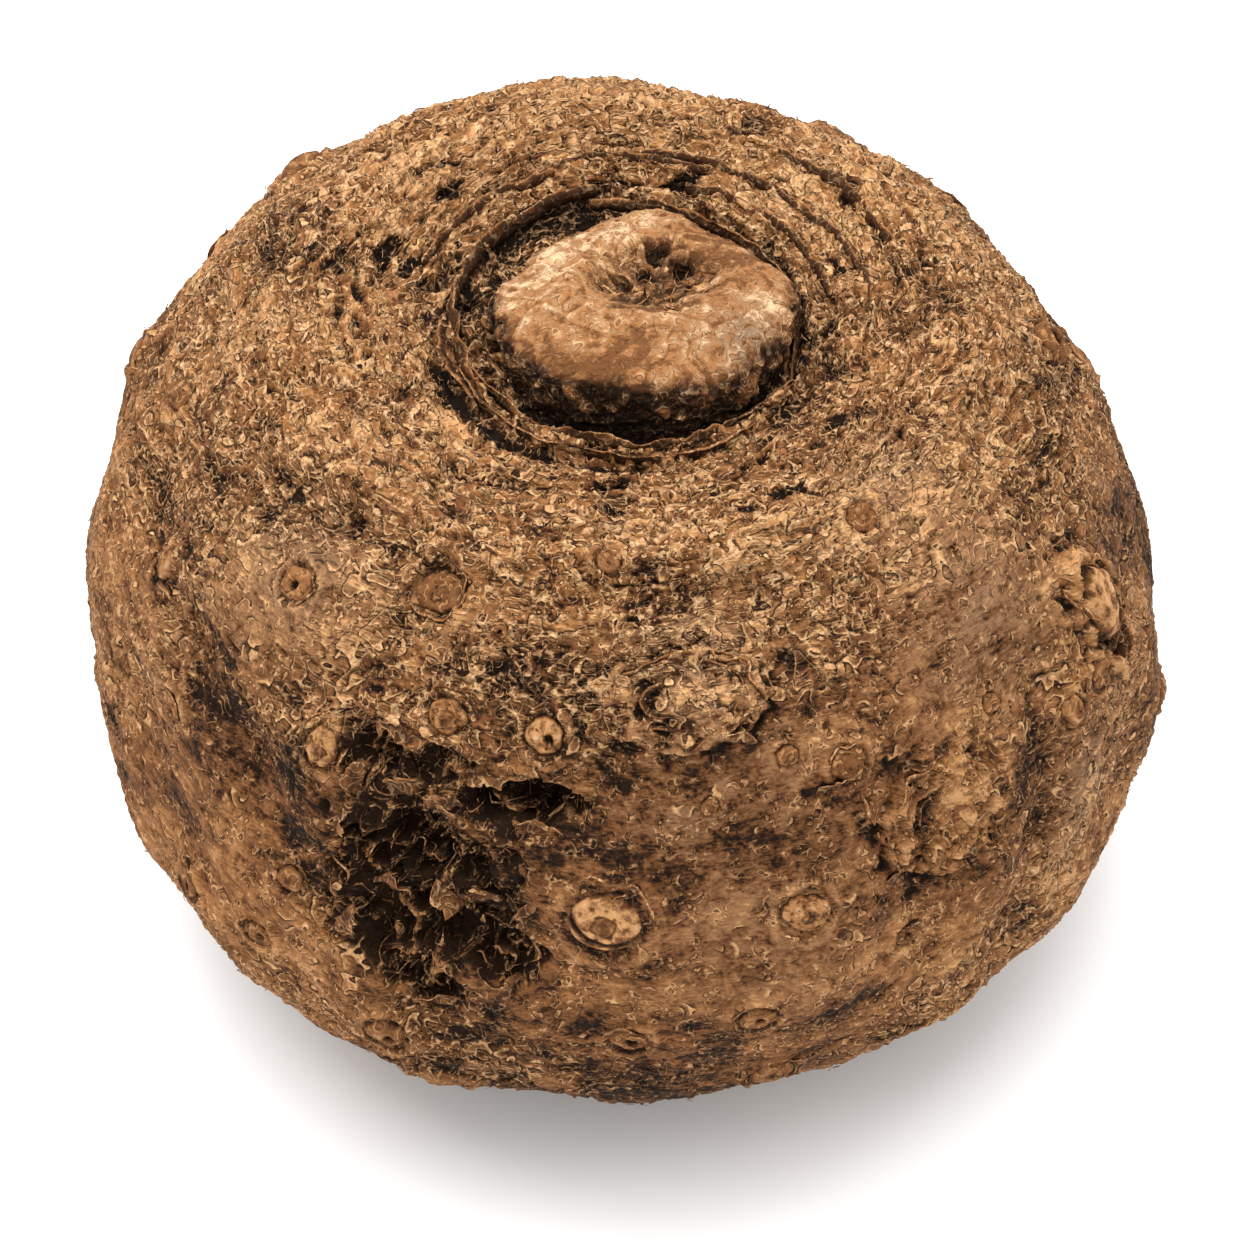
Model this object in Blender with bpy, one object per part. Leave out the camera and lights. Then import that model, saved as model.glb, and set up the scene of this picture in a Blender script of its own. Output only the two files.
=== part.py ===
"""An elephant foot yam corm, the large round relative of the taro root, as one solid.

The corm is a squashed globe. A sunken crown on top holds the scar of the fallen leaf stalk, a thick
button that stands in a moat with a raised collar round it. Root scars, buds and a torn hollow cover
the sides. The frame's origin is the centre of the flat spot that it rests on, +Z is up, and -Y is
the front, where the torn hollow is. Azimuth runs from the front towards +X, and polar angles run
down from the top, with 90 degrees at the widest level.
"""

import math
import random
from typing import NamedTuple

import bmesh
import bpy
import numpy as np
from mathutils import Matrix, Vector

MM = 0.001
GOLDEN_ANGLE = math.pi * (3 - math.sqrt(5))

# Driving sizes of the whole corm
BODY_RADIUS = 100 * MM
WIDEST_LEVEL = 64 * MM
DOME_RISE = 92 * MM
BOWL_DROP = 66 * MM
DOME_POWER = 2.1
BOWL_POWER = 2.4
REST_FADE = 14 * MM

# Small swells all over, as crossed waves
SWELLS = 16
SWELL_HEIGHT = 0.42 * MM
SWELL_COUNT = 13.0
SWELL_STEP = 1.1

# The sunken crown, from its middle outwards
MOAT_RADIUS = 30 * MM
MOAT_LEVEL = 131.5 * MM
DISH_RADIUS = 36 * MM
DISH_LEVEL = 133 * MM
DISH_SLOPE = 0.32
CROWN_BLEND = 9 * MM
CROWN_TILT = 0.06
CROWN_SHIFT = 1 * MM
CROWN_REACH = 75 * MM
COLLAR_RADIUS = 32.5 * MM
COLLAR_HEIGHT = 4.4 * MM
COLLAR_WIDTH = 1.1 * MM
FRINGE_RADIUS = 39.5 * MM
FRINGE_HEIGHT = 1.4 * MM
FRINGE_WIDTH = 1.8 * MM
COLLAR_WEAR = 0.15
COLLAR_PHASE = 0.7
FRINGE_GAPS = 0.4
FRINGE_PHASE = 2.0
COLLAR_SWAY = 0.8 * MM
SWAY_PHASE = 1.0
SWAY_RIPPLE = 0.6
RIPPLE_PHASE = 2.6
COLLAR_PULL = 2.2 * MM
SWAY_REACH = 12 * MM

# The button left by the leaf stalk
BUTTON_HALF_WIDTH = 26.8 * MM
BUTTON_HALF_DEPTH = 23.8 * MM
BUTTON_TOP = 144 * MM
BUTTON_FOOT = 124 * MM
BUTTON_PLACE = (3.6 * MM, -1.0 * MM)
BUTTON_PIT_PLACE = (3.2 * MM, 1.5 * MM)
BUTTON_PIT_RADIUS = 10.5 * MM
BUTTON_PIT_DEPTH = 5.0 * MM
BUTTON_CORNERS = 0.024
BUTTON_LOBES = 0.016
LOBE_PHASE = 1.0
BUTTON_DOME = 1.06

# Mesh counts, which keep the solid under 12,000 triangles
COLUMNS = 78
CROWN_RADII = [12, 24, 29, 31, 31.8, 32.5, 33.2, 34.2, 37, 39.5, 42.5, 48, 55, 63]
SIDE_ROWS = 24
FRONT_CROWDING = 0.22
BUTTON_COLUMNS = 32
SMALL_SCAR_SIDES = 6
SCAR_SIDES = 7
BUD_SIDES = 12
SMALL_SCAR = 3.3 * MM

# Profiles of the raised details: share of the width, of the rise, and of the pit's depth
BUTTON_PROFILE = [
    (0.96, -1.0),
    (0.97, 0.05),
    (1.0, 0.35),
    (1.0, 0.62),
    (0.95, 0.84),
    (0.86, 0.95),
    (0.7, 1.0),
    (0.45, 1.03),
    (0.2, 1.05),
]
SCAR_PROFILE = [(1.8, -1.0, 0.0), (0.98, 0.72, 0.0), (0.62, 1.0, 0.0), (0.3, 1.0, 1.0)]
BUD_PROFILE = [
    (1.25, -1.0, 0.0),
    (1.04, 0.75, 0.0),
    (0.86, 1.0, 0.0),
    (0.62, 0.8, 1.0),
    (0.34, 1.0, 0.2),
]
STUMP_ROOT = 3 * MM
SCAR_TURN = 37.0
FRAME_STEP = 0.03
NORMAL_STEP = 1e-3

# Scars of the far side: angles in degrees, sizes in mm
BACK_SCARS = 15
CLEAR_OF_FRONT = 74
CLEAR_OF_OTHERS = 11
HIGHEST_POLAR = 46
POLAR_SPAN = 66
POLAR_STEP = 7.3
AZIMUTH_JITTER = 5
POLAR_JITTER = 3
BACK_RADII = (2.2, 4.2)
BACK_HEIGHTS = (1.0, 2.2)
BACK_PITS = (0.4, 1.8)
BITE_JITTER = 0.2
SEED = 11

SKIN_COLOUR = (0.27, 0.155, 0.082, 1.0)
SKIN_ROUGHNESS = 0.88


class Bulge(NamedTuple):
    """A broad swelling, or a dent where height is negative. Angles in degrees, height in mm."""

    azimuth: float
    polar: float
    reach: float
    height: float


class Fold(NamedTuple):
    """A ridge, or a valley where height is negative, between two places. Width and height in mm."""

    azimuth: float
    polar: float
    end_azimuth: float
    end_polar: float
    width: float
    height: float


class Scar(NamedTuple):
    """The round stump of a root. Sizes in mm. pit is the depth of the hole in its top."""

    azimuth: float
    polar: float
    radius: float
    height: float
    pit: float


class Bud(NamedTuple):
    """A ragged ring round a dormant shoot. Sizes in mm, turn in degrees."""

    azimuth: float
    polar: float
    half_width: float
    half_height: float
    rise: float
    pit: float
    turn: float


class Bite(NamedTuple):
    """One bite of the torn hollow, as a rough egg sunk into the side. Sizes in mm."""

    azimuth: float
    polar: float
    half_width: float
    half_height: float
    depth: float


BULGES = [
    Bulge(-125, 60, 38, 2.5),
    Bulge(130, 55, 38, -1.5),
    Bulge(68, 111, 30, 0.6),
    Bulge(0, 128, 26, -1.6),
    Bulge(95, 72, 25, -3.4),
    Bulge(-80, 100, 25, -1.2),
    Bulge(-35, 122, 25, 2.2),
    Bulge(-46, 50, 13, 3.0),
    Bulge(-20, 76, 14, -3.0),
    Bulge(-12, 65, 7, -1.6),
    Bulge(-30, 96, 12, 1.6),
    Bulge(45, 56, 17, 2.5),
    Bulge(6, 52, 14, 1.6),
    Bulge(14, 84, 20, 1.5),
    Bulge(170, 95, 24, 2.0),
    Bulge(-150, 100, 22, 1.8),
    Bulge(115, 92, 20, 1.6),
]

FOLDS = [
    Fold(-56, 44, -43, 41.5, 5, -2.4),
    Fold(-43, 41.5, -28, 42.5, 5, -2.4),
    Fold(-76, 60, -56, 64, 7, -2.8),
    Fold(-56, 64, -44, 71, 7, -2.8),
    Fold(-44, 71, -33, 80, 7, -2.4),
    Fold(51, 66, 48, 84, 6, -2.6),
    Fold(48, 84, 43, 96, 6, -1.8),
    Fold(-6, 41, 20, 43, 5, -1.6),
    Fold(-3, 59.5, 12, 60.5, 3.5, -2.0),
    Fold(-32, 58, -18, 60, 3, 1.4),
    Fold(-18, 60, -5, 61, 3, 1.2),
    Fold(17, 37, 45, 36, 5, 2.0),
    Fold(-20, 38, 6, 37, 6, 1.4),
    Fold(100, 58, 128, 70, 7, -2.4),
    Fold(128, 70, 140, 92, 7, -2.0),
    Fold(150, 48, 178, 58, 6, -2.2),
    Fold(-150, 66, -122, 82, 7, -2.4),
    Fold(-122, 82, -112, 104, 7, -2.0),
    Fold(-172, 96, -200, 104, 6, -1.8),
    Fold(-112, 50, -92, 56, 6, -1.2),
]

FRONT_SCARS = [
    Scar(-66, 61, 2.8, 2.4, 0.4),
    Scar(-44, 50, 3.6, 1.2, 1.4),
    Scar(-26, 44, 5.4, 0.9, 0.4),
    Scar(-2.5, 37.5, 2.6, 1.8, 0.4),
    Scar(-16, 46.5, 1.9, 1.3, 1.6),
    Scar(-20.5, 56.5, 3.8, 1.8, 1.5),
    Scar(-34, 64.5, 3.4, 2.6, 0.5),
    Scar(-9, 56.5, 4.3, 1.8, 2.6),
    Scar(9, 64, 2.0, 1.3, 1.2),
    Scar(-2, 77.5, 6.4, 1.9, 1.2),
    Scar(18, 78, 5.2, 2.4, 0.5),
    Scar(29.5, 87, 2.8, 1.2, 2.4),
    Scar(13, 90.5, 3.6, 1.0, 1.2),
    Scar(0.5, 94, 3.6, 1.2, 1.2),
    Scar(18, 60, 2.3, 1.0, 0.8),
    Scar(24.5, 62.5, 3.6, 1.5, 1.0),
    Scar(54.5, 72.5, 2.7, 2.0, 0.4),
    Scar(43.5, 64, 2.0, 1.2, 0.3),
    Scar(95, 50, 5.0, 4.4, 2.0),
    Scar(106, 64, 4.0, 1.6, 0.5),
    Scar(-50, 92.5, 3.2, 1.2, 1.2),
    Scar(-39.5, 92, 3.0, 1.0, 1.2),
    Scar(-36, 83, 2.6, 1.0, 1.0),
    Scar(-24.5, 99, 3.8, 1.6, 2.4),
    Scar(-34, 110, 3.6, 2.2, 2.0),
    Scar(-67, 76, 3.0, 1.6, 0.5),
    Scar(-56, 73, 3.0, 0.9, 0.7),
    Scar(61, 82, 3.6, 1.0, 0.7),
    Scar(16.5, 112, 4.2, 1.6, 1.0),
    Scar(-7, 110, 4.6, 1.6, 1.2),
    Scar(-20, 112, 4.4, 1.6, 1.2),
    Scar(38, 39, 3.0, 1.2, 1.0),
    Scar(-132, 51, 4.4, 3.0, 0.6),
    Scar(165, 50, 3.4, 1.4, 0.8),
    Scar(150, 54, 4.0, 1.2, 0.6),
    Scar(134, 58, 3.4, 1.4, 0.8),
]

BUDS = [
    Bud(64, 66, 5.2, 9.5, 3.4, 0.4, 6),
    Bud(34, 73, 12.0, 10.0, 2.2, 1.8, -20),
    Bud(7, 52.5, 13.0, 7.5, 1.5, 1.2, 4),
    Bud(-152, 74, 9.0, 7.5, 2.6, 1.4, 15),
    Bud(128, 86, 8.0, 7.0, 2.4, 1.2, -10),
]

BITES = [
    Bite(-16, 64.5, 8.5, 3.8, 5.5),
    Bite(-9.5, 64.2, 7.5, 3.4, 5.0),
    Bite(-22, 62, 6.0, 4.2, 3.5),
    Bite(-28, 62, 5.5, 5.5, 3.0),
    Bite(-21.5, 72.5, 8.5, 6.5, 5.0),
    Bite(-14.5, 73.5, 8.0, 6.0, 5.0),
    Bite(-27.5, 77, 7.5, 8.0, 4.0),
    Bite(-25, 84, 8.5, 7.5, 4.0),
    Bite(-18.5, 81.5, 9.0, 7.0, 5.0),
    Bite(-12, 84, 7.5, 6.0, 3.5),
    Bite(-20, 90, 7.5, 5.0, 2.6),
]


def clear_scene():
    """Removes every object, so that the file can be run again."""
    for found in list(bpy.data.objects):
        bpy.data.objects.remove(found, do_unlink=True)


def smooth_min(a, b, blend):
    """The lower of two values, with the corner between them rounded over blend."""
    share = np.clip(0.5 + 0.5 * (b - a) / blend, 0, 1)
    return b + (a - b) * share - blend * share * (1 - share)


def smooth_step(value):
    """0 below 0, 1 above 1 and a smooth rise between."""
    share = np.clip(value, 0, 1)
    return share * share * (3 - 2 * share)


def meridian(polar):
    """Radius and height of the plain corm at these polar angles: two half superellipses, the upper
    one cut by the dish and the moat of the crown, the lower one by the floor."""
    upper = polar < math.pi / 2
    power = 2 / np.where(upper, DOME_POWER, BOWL_POWER)
    radius = BODY_RADIUS * np.abs(np.sin(polar)) ** power
    rise = np.abs(np.cos(polar)) ** power
    height = WIDEST_LEVEL + np.where(upper, DOME_RISE * rise, -BOWL_DROP * rise)
    dish = DISH_LEVEL + DISH_SLOPE * np.maximum(radius - DISH_RADIUS, 0)
    moat_share = smooth_step((radius - MOAT_RADIUS) / (DISH_RADIUS - MOAT_RADIUS))
    dish = MOAT_LEVEL + (dish - MOAT_LEVEL) * moat_share
    crown = smooth_min(height, dish, CROWN_BLEND)
    return radius, np.where(upper, crown, np.maximum(height, 0))


def direction(azimuth, polar):
    """Unit vectors from the corm's middle, for angles in radians."""
    across = np.sin(polar)
    parts = [across * np.sin(azimuth), -across * np.cos(azimuth), np.cos(polar) + 0 * azimuth]
    return np.stack(parts, axis=-1)


def direction_of(azimuth, polar):
    """The same for one place in degrees."""
    return direction(np.radians(azimuth), np.radians(polar))


def swells(way):
    """Low waves that cross the corm in directions spread evenly by the golden angle, the longer
    ones higher."""
    total = np.zeros(way.shape[:-1])
    for number in range(SWELLS):
        level = 1 - (number + 0.5) * 2 / SWELLS
        turn = GOLDEN_ANGLE * number
        across = math.sqrt(1 - level * level)
        heading = np.array([across * math.cos(turn), across * math.sin(turn), level])
        count = SWELL_COUNT + SWELL_STEP * number
        total += np.sin(count * (way @ heading) + number * number) * SWELL_COUNT / count
    return total * SWELL_HEIGHT


def relief(azimuth, polar):
    """How far the surface stands out from the plain corm: low swells, broad bulges, then folds."""
    way = direction(azimuth, polar)
    total = swells(way)
    for bulge in BULGES:
        apart = np.arccos(np.clip(way @ direction_of(bulge.azimuth, bulge.polar), -1, 1))
        total += bulge.height * MM * np.exp(-2 * (apart / math.radians(bulge.reach)) ** 2)
    for fold in FOLDS:
        start = direction_of(fold.azimuth, fold.polar)
        along = direction_of(fold.end_azimuth, fold.end_polar) - start
        share = np.clip((way - start) @ along / (along @ along), 0, 1)
        apart = np.linalg.norm(way - start - share[..., None] * along, axis=-1) * BODY_RADIUS
        total += fold.height * MM * np.exp(-((apart / (fold.width * MM)) ** 2))
    return total


def collars(radius, azimuth):
    """Height of the thin collar in the moat, lower in a few places, and of the fringe outside it."""
    waves = np.sin(3 * azimuth + COLLAR_PHASE) * np.sin(7 * azimuth)
    wear = 1 - COLLAR_WEAR + COLLAR_WEAR * waves
    collar = COLLAR_HEIGHT * wear * np.exp(-(((radius - COLLAR_RADIUS) / COLLAR_WIDTH) ** 2))
    broken = 1 - FRINGE_GAPS + FRINGE_GAPS * np.sin(4 * azimuth + FRINGE_PHASE)
    fringe = FRINGE_HEIGHT * broken * np.exp(-(((radius - FRINGE_RADIUS) / FRINGE_WIDTH) ** 2))
    return collar + fringe


def surface(azimuth, polar):
    """Points of the lumpy corm at these angles in radians, in metres, with a last axis of x, y, z."""
    radius, height = meridian(polar)
    next_radius, next_height = meridian(polar + NORMAL_STEP)
    last_radius, last_height = meridian(np.maximum(polar - NORMAL_STEP, 0))
    run, fall = next_radius - last_radius, next_height - last_height
    length = np.hypot(run, fall) + 1e-12
    raised = relief(azimuth, polar) * smooth_step(height / REST_FADE)
    upper = polar < math.pi / 2
    in_crown = upper * smooth_step((CROWN_REACH - radius) / (CROWN_REACH - FRINGE_RADIUS))
    height = height + run / length * raised + upper * collars(radius, azimuth)
    ripple = SWAY_RIPPLE * np.sin(5 * azimuth + RIPPLE_PHASE)
    sway = COLLAR_SWAY * (np.sin(2 * azimuth + SWAY_PHASE) + ripple)
    sway = sway - COLLAR_PULL * np.maximum(np.cos(azimuth), 0)
    near = upper * np.exp(-(((radius - COLLAR_RADIUS) / SWAY_REACH) ** 2))
    radius = radius - fall / length * raised + sway * near
    x = radius * np.sin(azimuth) + in_crown * CROWN_SHIFT
    y = -radius * np.cos(azimuth)
    return np.stack([x, y, height + in_crown * CROWN_TILT * y], axis=-1)


def place_on(azimuth, polar, turn=0.0):
    """The matrix of a frame on the surface, its Z axis outwards and its X axis level, and turned."""
    a, p, step = math.radians(azimuth), math.radians(polar), FRAME_STEP
    corners = [(a, p), (a + step, p), (a - step, p), (a, p + step), (a, p - step)]
    spot, right, left, down, up = (Vector(surface(np.float64(u), np.float64(v))) for u, v in corners)
    level = (right - left).normalized()
    out = level.cross(up - down).normalized()
    axes = Matrix((level, out.cross(level), out)).transposed().to_4x4()
    return Matrix.Translation(spot) @ axes @ Matrix.Rotation(math.radians(turn), 4, "Z")


def add_object(name, shape):
    """Links a new object that holds the bmesh shape."""
    bmesh.ops.recalc_face_normals(shape, faces=shape.faces)
    mesh = bpy.data.meshes.new(name)
    shape.to_mesh(mesh)
    shape.free()
    made = bpy.data.objects.new(name, mesh)
    bpy.context.scene.collection.objects.link(made)
    return made


def row_angles():
    """Polar angles of the rows: close together in the crown, then even down the side."""
    radii = np.array(CROWN_RADII) * MM
    crown = np.arcsin((radii / BODY_RADIUS) ** (DOME_POWER / 2))
    rest = math.pi - math.asin((1 - (WIDEST_LEVEL / BOWL_DROP) ** BOWL_POWER) ** 0.5)
    side = np.linspace(crown[-1], rest, SIDE_ROWS + 1)[1:]
    return np.concatenate([crown, side])


def spin_profile(profile, sides, dome=None):
    """A closed bmesh from a profile of radii and heights spun round Z. The first ring is closed by
    one flat face, and the last by a fan whose middle is at the height dome."""
    shape = bmesh.new()
    points = [shape.verts.new((radius, 0, height)) for radius, height in profile]
    edges = [shape.edges.new(pair) for pair in zip(points, points[1:])]
    bmesh.ops.spin(
        shape,
        geom=points + edges,
        cent=(0, 0, 0),
        axis=(0, 0, 1),
        angle=math.tau,
        steps=sides,
        use_merge=True,
        use_duplicate=False,
    )
    rims = [edge for edge in shape.edges if edge.is_boundary]
    caps = bmesh.ops.holes_fill(shape, edges=rims, sides=sides)["faces"]
    if dome is not None:
        last = max(caps, key=lambda face: face.calc_center_median().z)
        middle = bmesh.ops.poke(shape, faces=[last])["verts"][0]
        middle.co.z = dome
    return shape


def build_body():
    """The corm without its scars: a spun profile, moved onto the lumpy surface point by point."""
    profile = [(math.sin(polar), math.cos(polar)) for polar in row_angles()]
    shape = spin_profile(profile, COLUMNS)
    places = np.array([vertex.co for vertex in shape.verts])
    polar = np.arccos(np.clip(places[:, 2], -1, 1))
    azimuth = np.arctan2(places[:, 0], -places[:, 1])
    azimuth = azimuth - FRONT_CROWDING * np.sin(azimuth)
    for vertex, place in zip(shape.verts, surface(azimuth, polar)):
        vertex.co = place
    ends = [face for face in shape.faces if len(face.verts) > 4]
    bmesh.ops.poke(shape, faces=ends)
    bmesh.ops.triangulate(shape, faces=shape.faces)
    return add_object("corm", shape)


def build_button():
    """The leaf stalk's scar: a thick disc with five blunt corners, a rounded rim and an undercut
    side, and a shallow pit off its middle."""
    shape = spin_profile(BUTTON_PROFILE, BUTTON_COLUMNS, dome=BUTTON_DOME)
    pit = Vector(BUTTON_PIT_PLACE)
    for vertex in shape.verts:
        turn = math.atan2(vertex.co.y, vertex.co.x)
        lobes = BUTTON_LOBES * math.cos(3 * turn - LOBE_PHASE)
        corners = 1 + BUTTON_CORNERS * math.sin(5 * turn) + lobes
        x = vertex.co.x * BUTTON_HALF_WIDTH * corners
        y = vertex.co.y * BUTTON_HALF_DEPTH * corners
        height = BUTTON_FOOT
        if vertex.co.z > 0:
            near = (Vector((x, y)) - pit).length / BUTTON_PIT_RADIUS
            height = MOAT_LEVEL + vertex.co.z * (BUTTON_TOP - MOAT_LEVEL)
            height -= BUTTON_PIT_DEPTH * math.exp(-2 * near**2) * vertex.co.z
        vertex.co = (x + BUTTON_PLACE[0], y + BUTTON_PLACE[1], height)
    return add_object("button", shape)


def build_stump(name, profile, sides, matrix, half_width, half_height, rise, pit):
    """A short stump with a pit in its top, on a foot that is sunk into the corm."""
    heights = [
        (radius, STUMP_ROOT * up if up < 0 else rise * up - pit * down)
        for radius, up, down in profile
    ]
    shape = spin_profile(heights, sides, dome=heights[-1][1])
    across = Matrix.Diagonal((half_width, half_height, 1, 1))
    bmesh.ops.transform(shape, matrix=matrix @ across, verts=shape.verts)
    return add_object(name, shape)


def back_scars():
    """Scars for the far side, in rows along the growth rings, a golden angle apart and a little off
    their places, and clear of the front ones."""
    draw = random.Random(SEED)
    placed = []
    number = 0
    while len(placed) < BACK_SCARS:
        azimuth = (number * math.degrees(GOLDEN_ANGLE)) % 360 - 180
        azimuth += draw.uniform(-AZIMUTH_JITTER, AZIMUTH_JITTER)
        polar = HIGHEST_POLAR + (number * POLAR_STEP) % POLAR_SPAN
        polar += draw.uniform(-POLAR_JITTER, POLAR_JITTER)
        number += 1
        if abs(azimuth) < CLEAR_OF_FRONT:
            continue
        way = Vector(direction_of(azimuth, polar))
        taken = FRONT_SCARS + placed + BUDS
        apart = min(way.angle(Vector(direction_of(other.azimuth, other.polar))) for other in taken)
        if apart < math.radians(CLEAR_OF_OTHERS):
            continue
        radius, height = draw.uniform(*BACK_RADII), draw.uniform(*BACK_HEIGHTS)
        placed.append(Scar(azimuth, polar, radius, height, draw.uniform(*BACK_PITS)))
    return placed


def build_stumps():
    """Every root scar and bud ring, each an object that is fused into the corm afterwards."""
    made = []
    for number, scar in enumerate(FRONT_SCARS + back_scars()):
        radius = scar.radius * MM
        sides = SMALL_SCAR_SIDES if radius < SMALL_SCAR else SCAR_SIDES
        matrix = place_on(scar.azimuth, scar.polar, turn=SCAR_TURN * number)
        sizes = (radius, radius, scar.height * MM, scar.pit * MM)
        made.append(build_stump(f"scar_{number}", SCAR_PROFILE, sides, matrix, *sizes))
    for number, bud in enumerate(BUDS):
        matrix = place_on(bud.azimuth, bud.polar, bud.turn)
        sizes = (bud.half_width * MM, bud.half_height * MM, bud.rise * MM, bud.pit * MM)
        made.append(build_stump(f"bud_{number}", BUD_PROFILE, BUD_SIDES, matrix, *sizes))
    return made


def build_bites():
    """The cutters of the torn hollow: rough eggs whose inner ends reach the hollow's depth."""
    made = []
    draw = random.Random(SEED)
    for number, bite in enumerate(BITES):
        shape = bmesh.new()
        bmesh.ops.create_icosphere(shape, subdivisions=2, radius=1.0)
        for vertex in shape.verts:
            vertex.co *= 1 + draw.uniform(-BITE_JITTER, BITE_JITTER)
        scale = Matrix.Diagonal((bite.half_width * MM, bite.half_height * MM, bite.depth * MM, 1))
        matrix = place_on(bite.azimuth, bite.polar) @ scale
        bmesh.ops.transform(shape, matrix=matrix, verts=shape.verts)
        made.append(add_object(f"bite_{number}", shape))
    return made


def apply_boolean(body, tools, operation):
    """Joins or cuts the tools with the body in one Boolean, then removes them."""
    group = bpy.data.collections.new("tools")
    for tool in tools:
        group.objects.link(tool)
    boolean = body.modifiers.new(operation.lower(), "BOOLEAN")
    boolean.operation = operation
    boolean.operand_type = "COLLECTION"
    boolean.collection = group
    boolean.solver = "EXACT"
    bpy.context.view_layer.update()
    graph = bpy.context.evaluated_depsgraph_get()
    joined = bpy.data.meshes.new_from_object(body.evaluated_get(graph))
    body.modifiers.clear()
    body.data = joined
    for tool in tools:
        bpy.data.objects.remove(tool, do_unlink=True)
    bpy.data.collections.remove(group)


def skin_material():
    """Dull brown bark."""
    material = bpy.data.materials.new("skin")
    material.use_nodes = True
    shader = material.node_tree.nodes["Principled BSDF"]
    shader.inputs["Base Color"].default_value = SKIN_COLOUR
    shader.inputs["Roughness"].default_value = SKIN_ROUGHNESS
    shader.inputs["Metallic"].default_value = 0.0
    return material


def main():
    """Builds the corm as one object."""
    clear_scene()
    corm = build_body()
    apply_boolean(corm, build_bites(), "DIFFERENCE")
    apply_boolean(corm, [build_button(), *build_stumps()], "UNION")
    corm.data.materials.clear()
    corm.data.materials.append(skin_material())
    corm.data.shade_smooth()
    corm.data.set_sharp_from_angle(angle=math.radians(40))


if __name__ == "__main__":
    main()
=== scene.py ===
"""The looks of an elephant foot yam corm: fibrous bark, button, collar, root scars and torn hollow.

Sizes are in millimetres and angles in radians unless a name says otherwise. Azimuth runs from the
front (-Y) towards +X, and polar angles run down from the top.
"""

import logging
import math
import random
from dataclasses import dataclass, field
from enum import Enum
from typing import Any, NamedTuple

import bpy
import numpy as np
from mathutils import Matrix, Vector


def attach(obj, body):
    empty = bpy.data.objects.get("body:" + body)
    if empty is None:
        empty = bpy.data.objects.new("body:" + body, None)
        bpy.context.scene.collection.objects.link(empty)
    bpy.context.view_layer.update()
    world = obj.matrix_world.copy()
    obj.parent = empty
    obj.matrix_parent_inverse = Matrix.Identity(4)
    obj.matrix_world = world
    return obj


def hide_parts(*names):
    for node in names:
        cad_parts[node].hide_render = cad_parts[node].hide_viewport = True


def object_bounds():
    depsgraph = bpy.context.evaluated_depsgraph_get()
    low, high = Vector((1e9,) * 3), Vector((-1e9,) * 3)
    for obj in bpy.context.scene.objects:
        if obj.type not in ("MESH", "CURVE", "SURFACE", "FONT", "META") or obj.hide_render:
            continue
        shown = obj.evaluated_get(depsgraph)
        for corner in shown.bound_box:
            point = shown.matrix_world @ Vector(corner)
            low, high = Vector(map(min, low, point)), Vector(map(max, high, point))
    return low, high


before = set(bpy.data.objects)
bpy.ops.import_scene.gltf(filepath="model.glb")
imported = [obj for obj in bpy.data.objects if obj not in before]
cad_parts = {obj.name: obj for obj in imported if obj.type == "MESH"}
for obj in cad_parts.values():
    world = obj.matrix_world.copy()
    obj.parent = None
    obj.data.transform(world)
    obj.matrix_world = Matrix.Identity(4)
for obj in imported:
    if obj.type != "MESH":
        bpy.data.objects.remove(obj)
PART_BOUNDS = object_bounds()

LOG = logging.getLogger("corm")
MM = 0.001
GOLDEN_ANGLE = math.pi * (3 - math.sqrt(5))
Array = np.ndarray


class Bulge(NamedTuple):
    """A broad swelling, or a dent where height is negative. Angles in degrees."""

    azimuth: float
    polar: float
    reach: float
    height: float


class Fold(NamedTuple):
    """A ridge, or a valley where height is negative, between two places in degrees."""

    azimuth: float
    polar: float
    end_azimuth: float
    end_polar: float
    width: float
    height: float


class Scar(NamedTuple):
    """The round stump of a root. pit is the depth of the hole in its top, pale is how light it is
    and tall its height against its width. Angles in degrees."""

    azimuth: float
    polar: float
    radius: float
    height: float
    pit: float
    pale: float = 0.2
    tall: float = 0.92


class Bud(NamedTuple):
    """A ragged ring round a dormant shoot. gap is how deep it is sunk inside the ring. Angles in
    degrees."""

    azimuth: float
    polar: float
    half_width: float
    half_height: float
    rise: float
    pit: float
    turn: float
    gap: float = 0.0


class Bite(NamedTuple):
    """One bite of the torn hollow. Angles in degrees."""

    azimuth: float
    polar: float
    half_width: float
    half_height: float
    depth: float


class Patch(NamedTuple):
    """A soft-edged patch of the bark where a quality is stronger. Angles in degrees."""

    azimuth: float
    polar: float
    reach: float
    amount: float


class Flap(NamedTuple):
    """A torn sheet of bark, its free edge turned from upwards by turn. Angles in degrees."""

    azimuth: float
    polar: float
    width: float
    length: float
    turn: float
    lift: float


class Membrane(NamedTuple):
    """A thin papery strip standing in the crown. Angles in degrees."""

    start: float
    end: float
    radius: float
    height: float
    lean: float


BULGES = [
    Bulge(-125, 60, 38, 2.5),
    Bulge(130, 55, 38, -1.5),
    Bulge(68, 111, 30, 0.6),
    Bulge(0, 128, 26, -1.6),
    Bulge(95, 72, 25, -3.4),
    Bulge(-80, 100, 25, -1.2),
    Bulge(-35, 122, 25, 2.2),
    Bulge(-46, 50, 13, 3.0),
    Bulge(-20, 76, 14, -3.0),
    Bulge(-12, 65, 7, -1.6),
    Bulge(-30, 96, 12, 1.6),
    Bulge(45, 56, 17, 2.5),
    Bulge(6, 52, 14, 1.6),
    Bulge(14, 84, 20, 1.5),
    Bulge(170, 95, 24, 2.0),
    Bulge(-150, 100, 22, 1.8),
    Bulge(115, 92, 20, 1.6),
]

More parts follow.
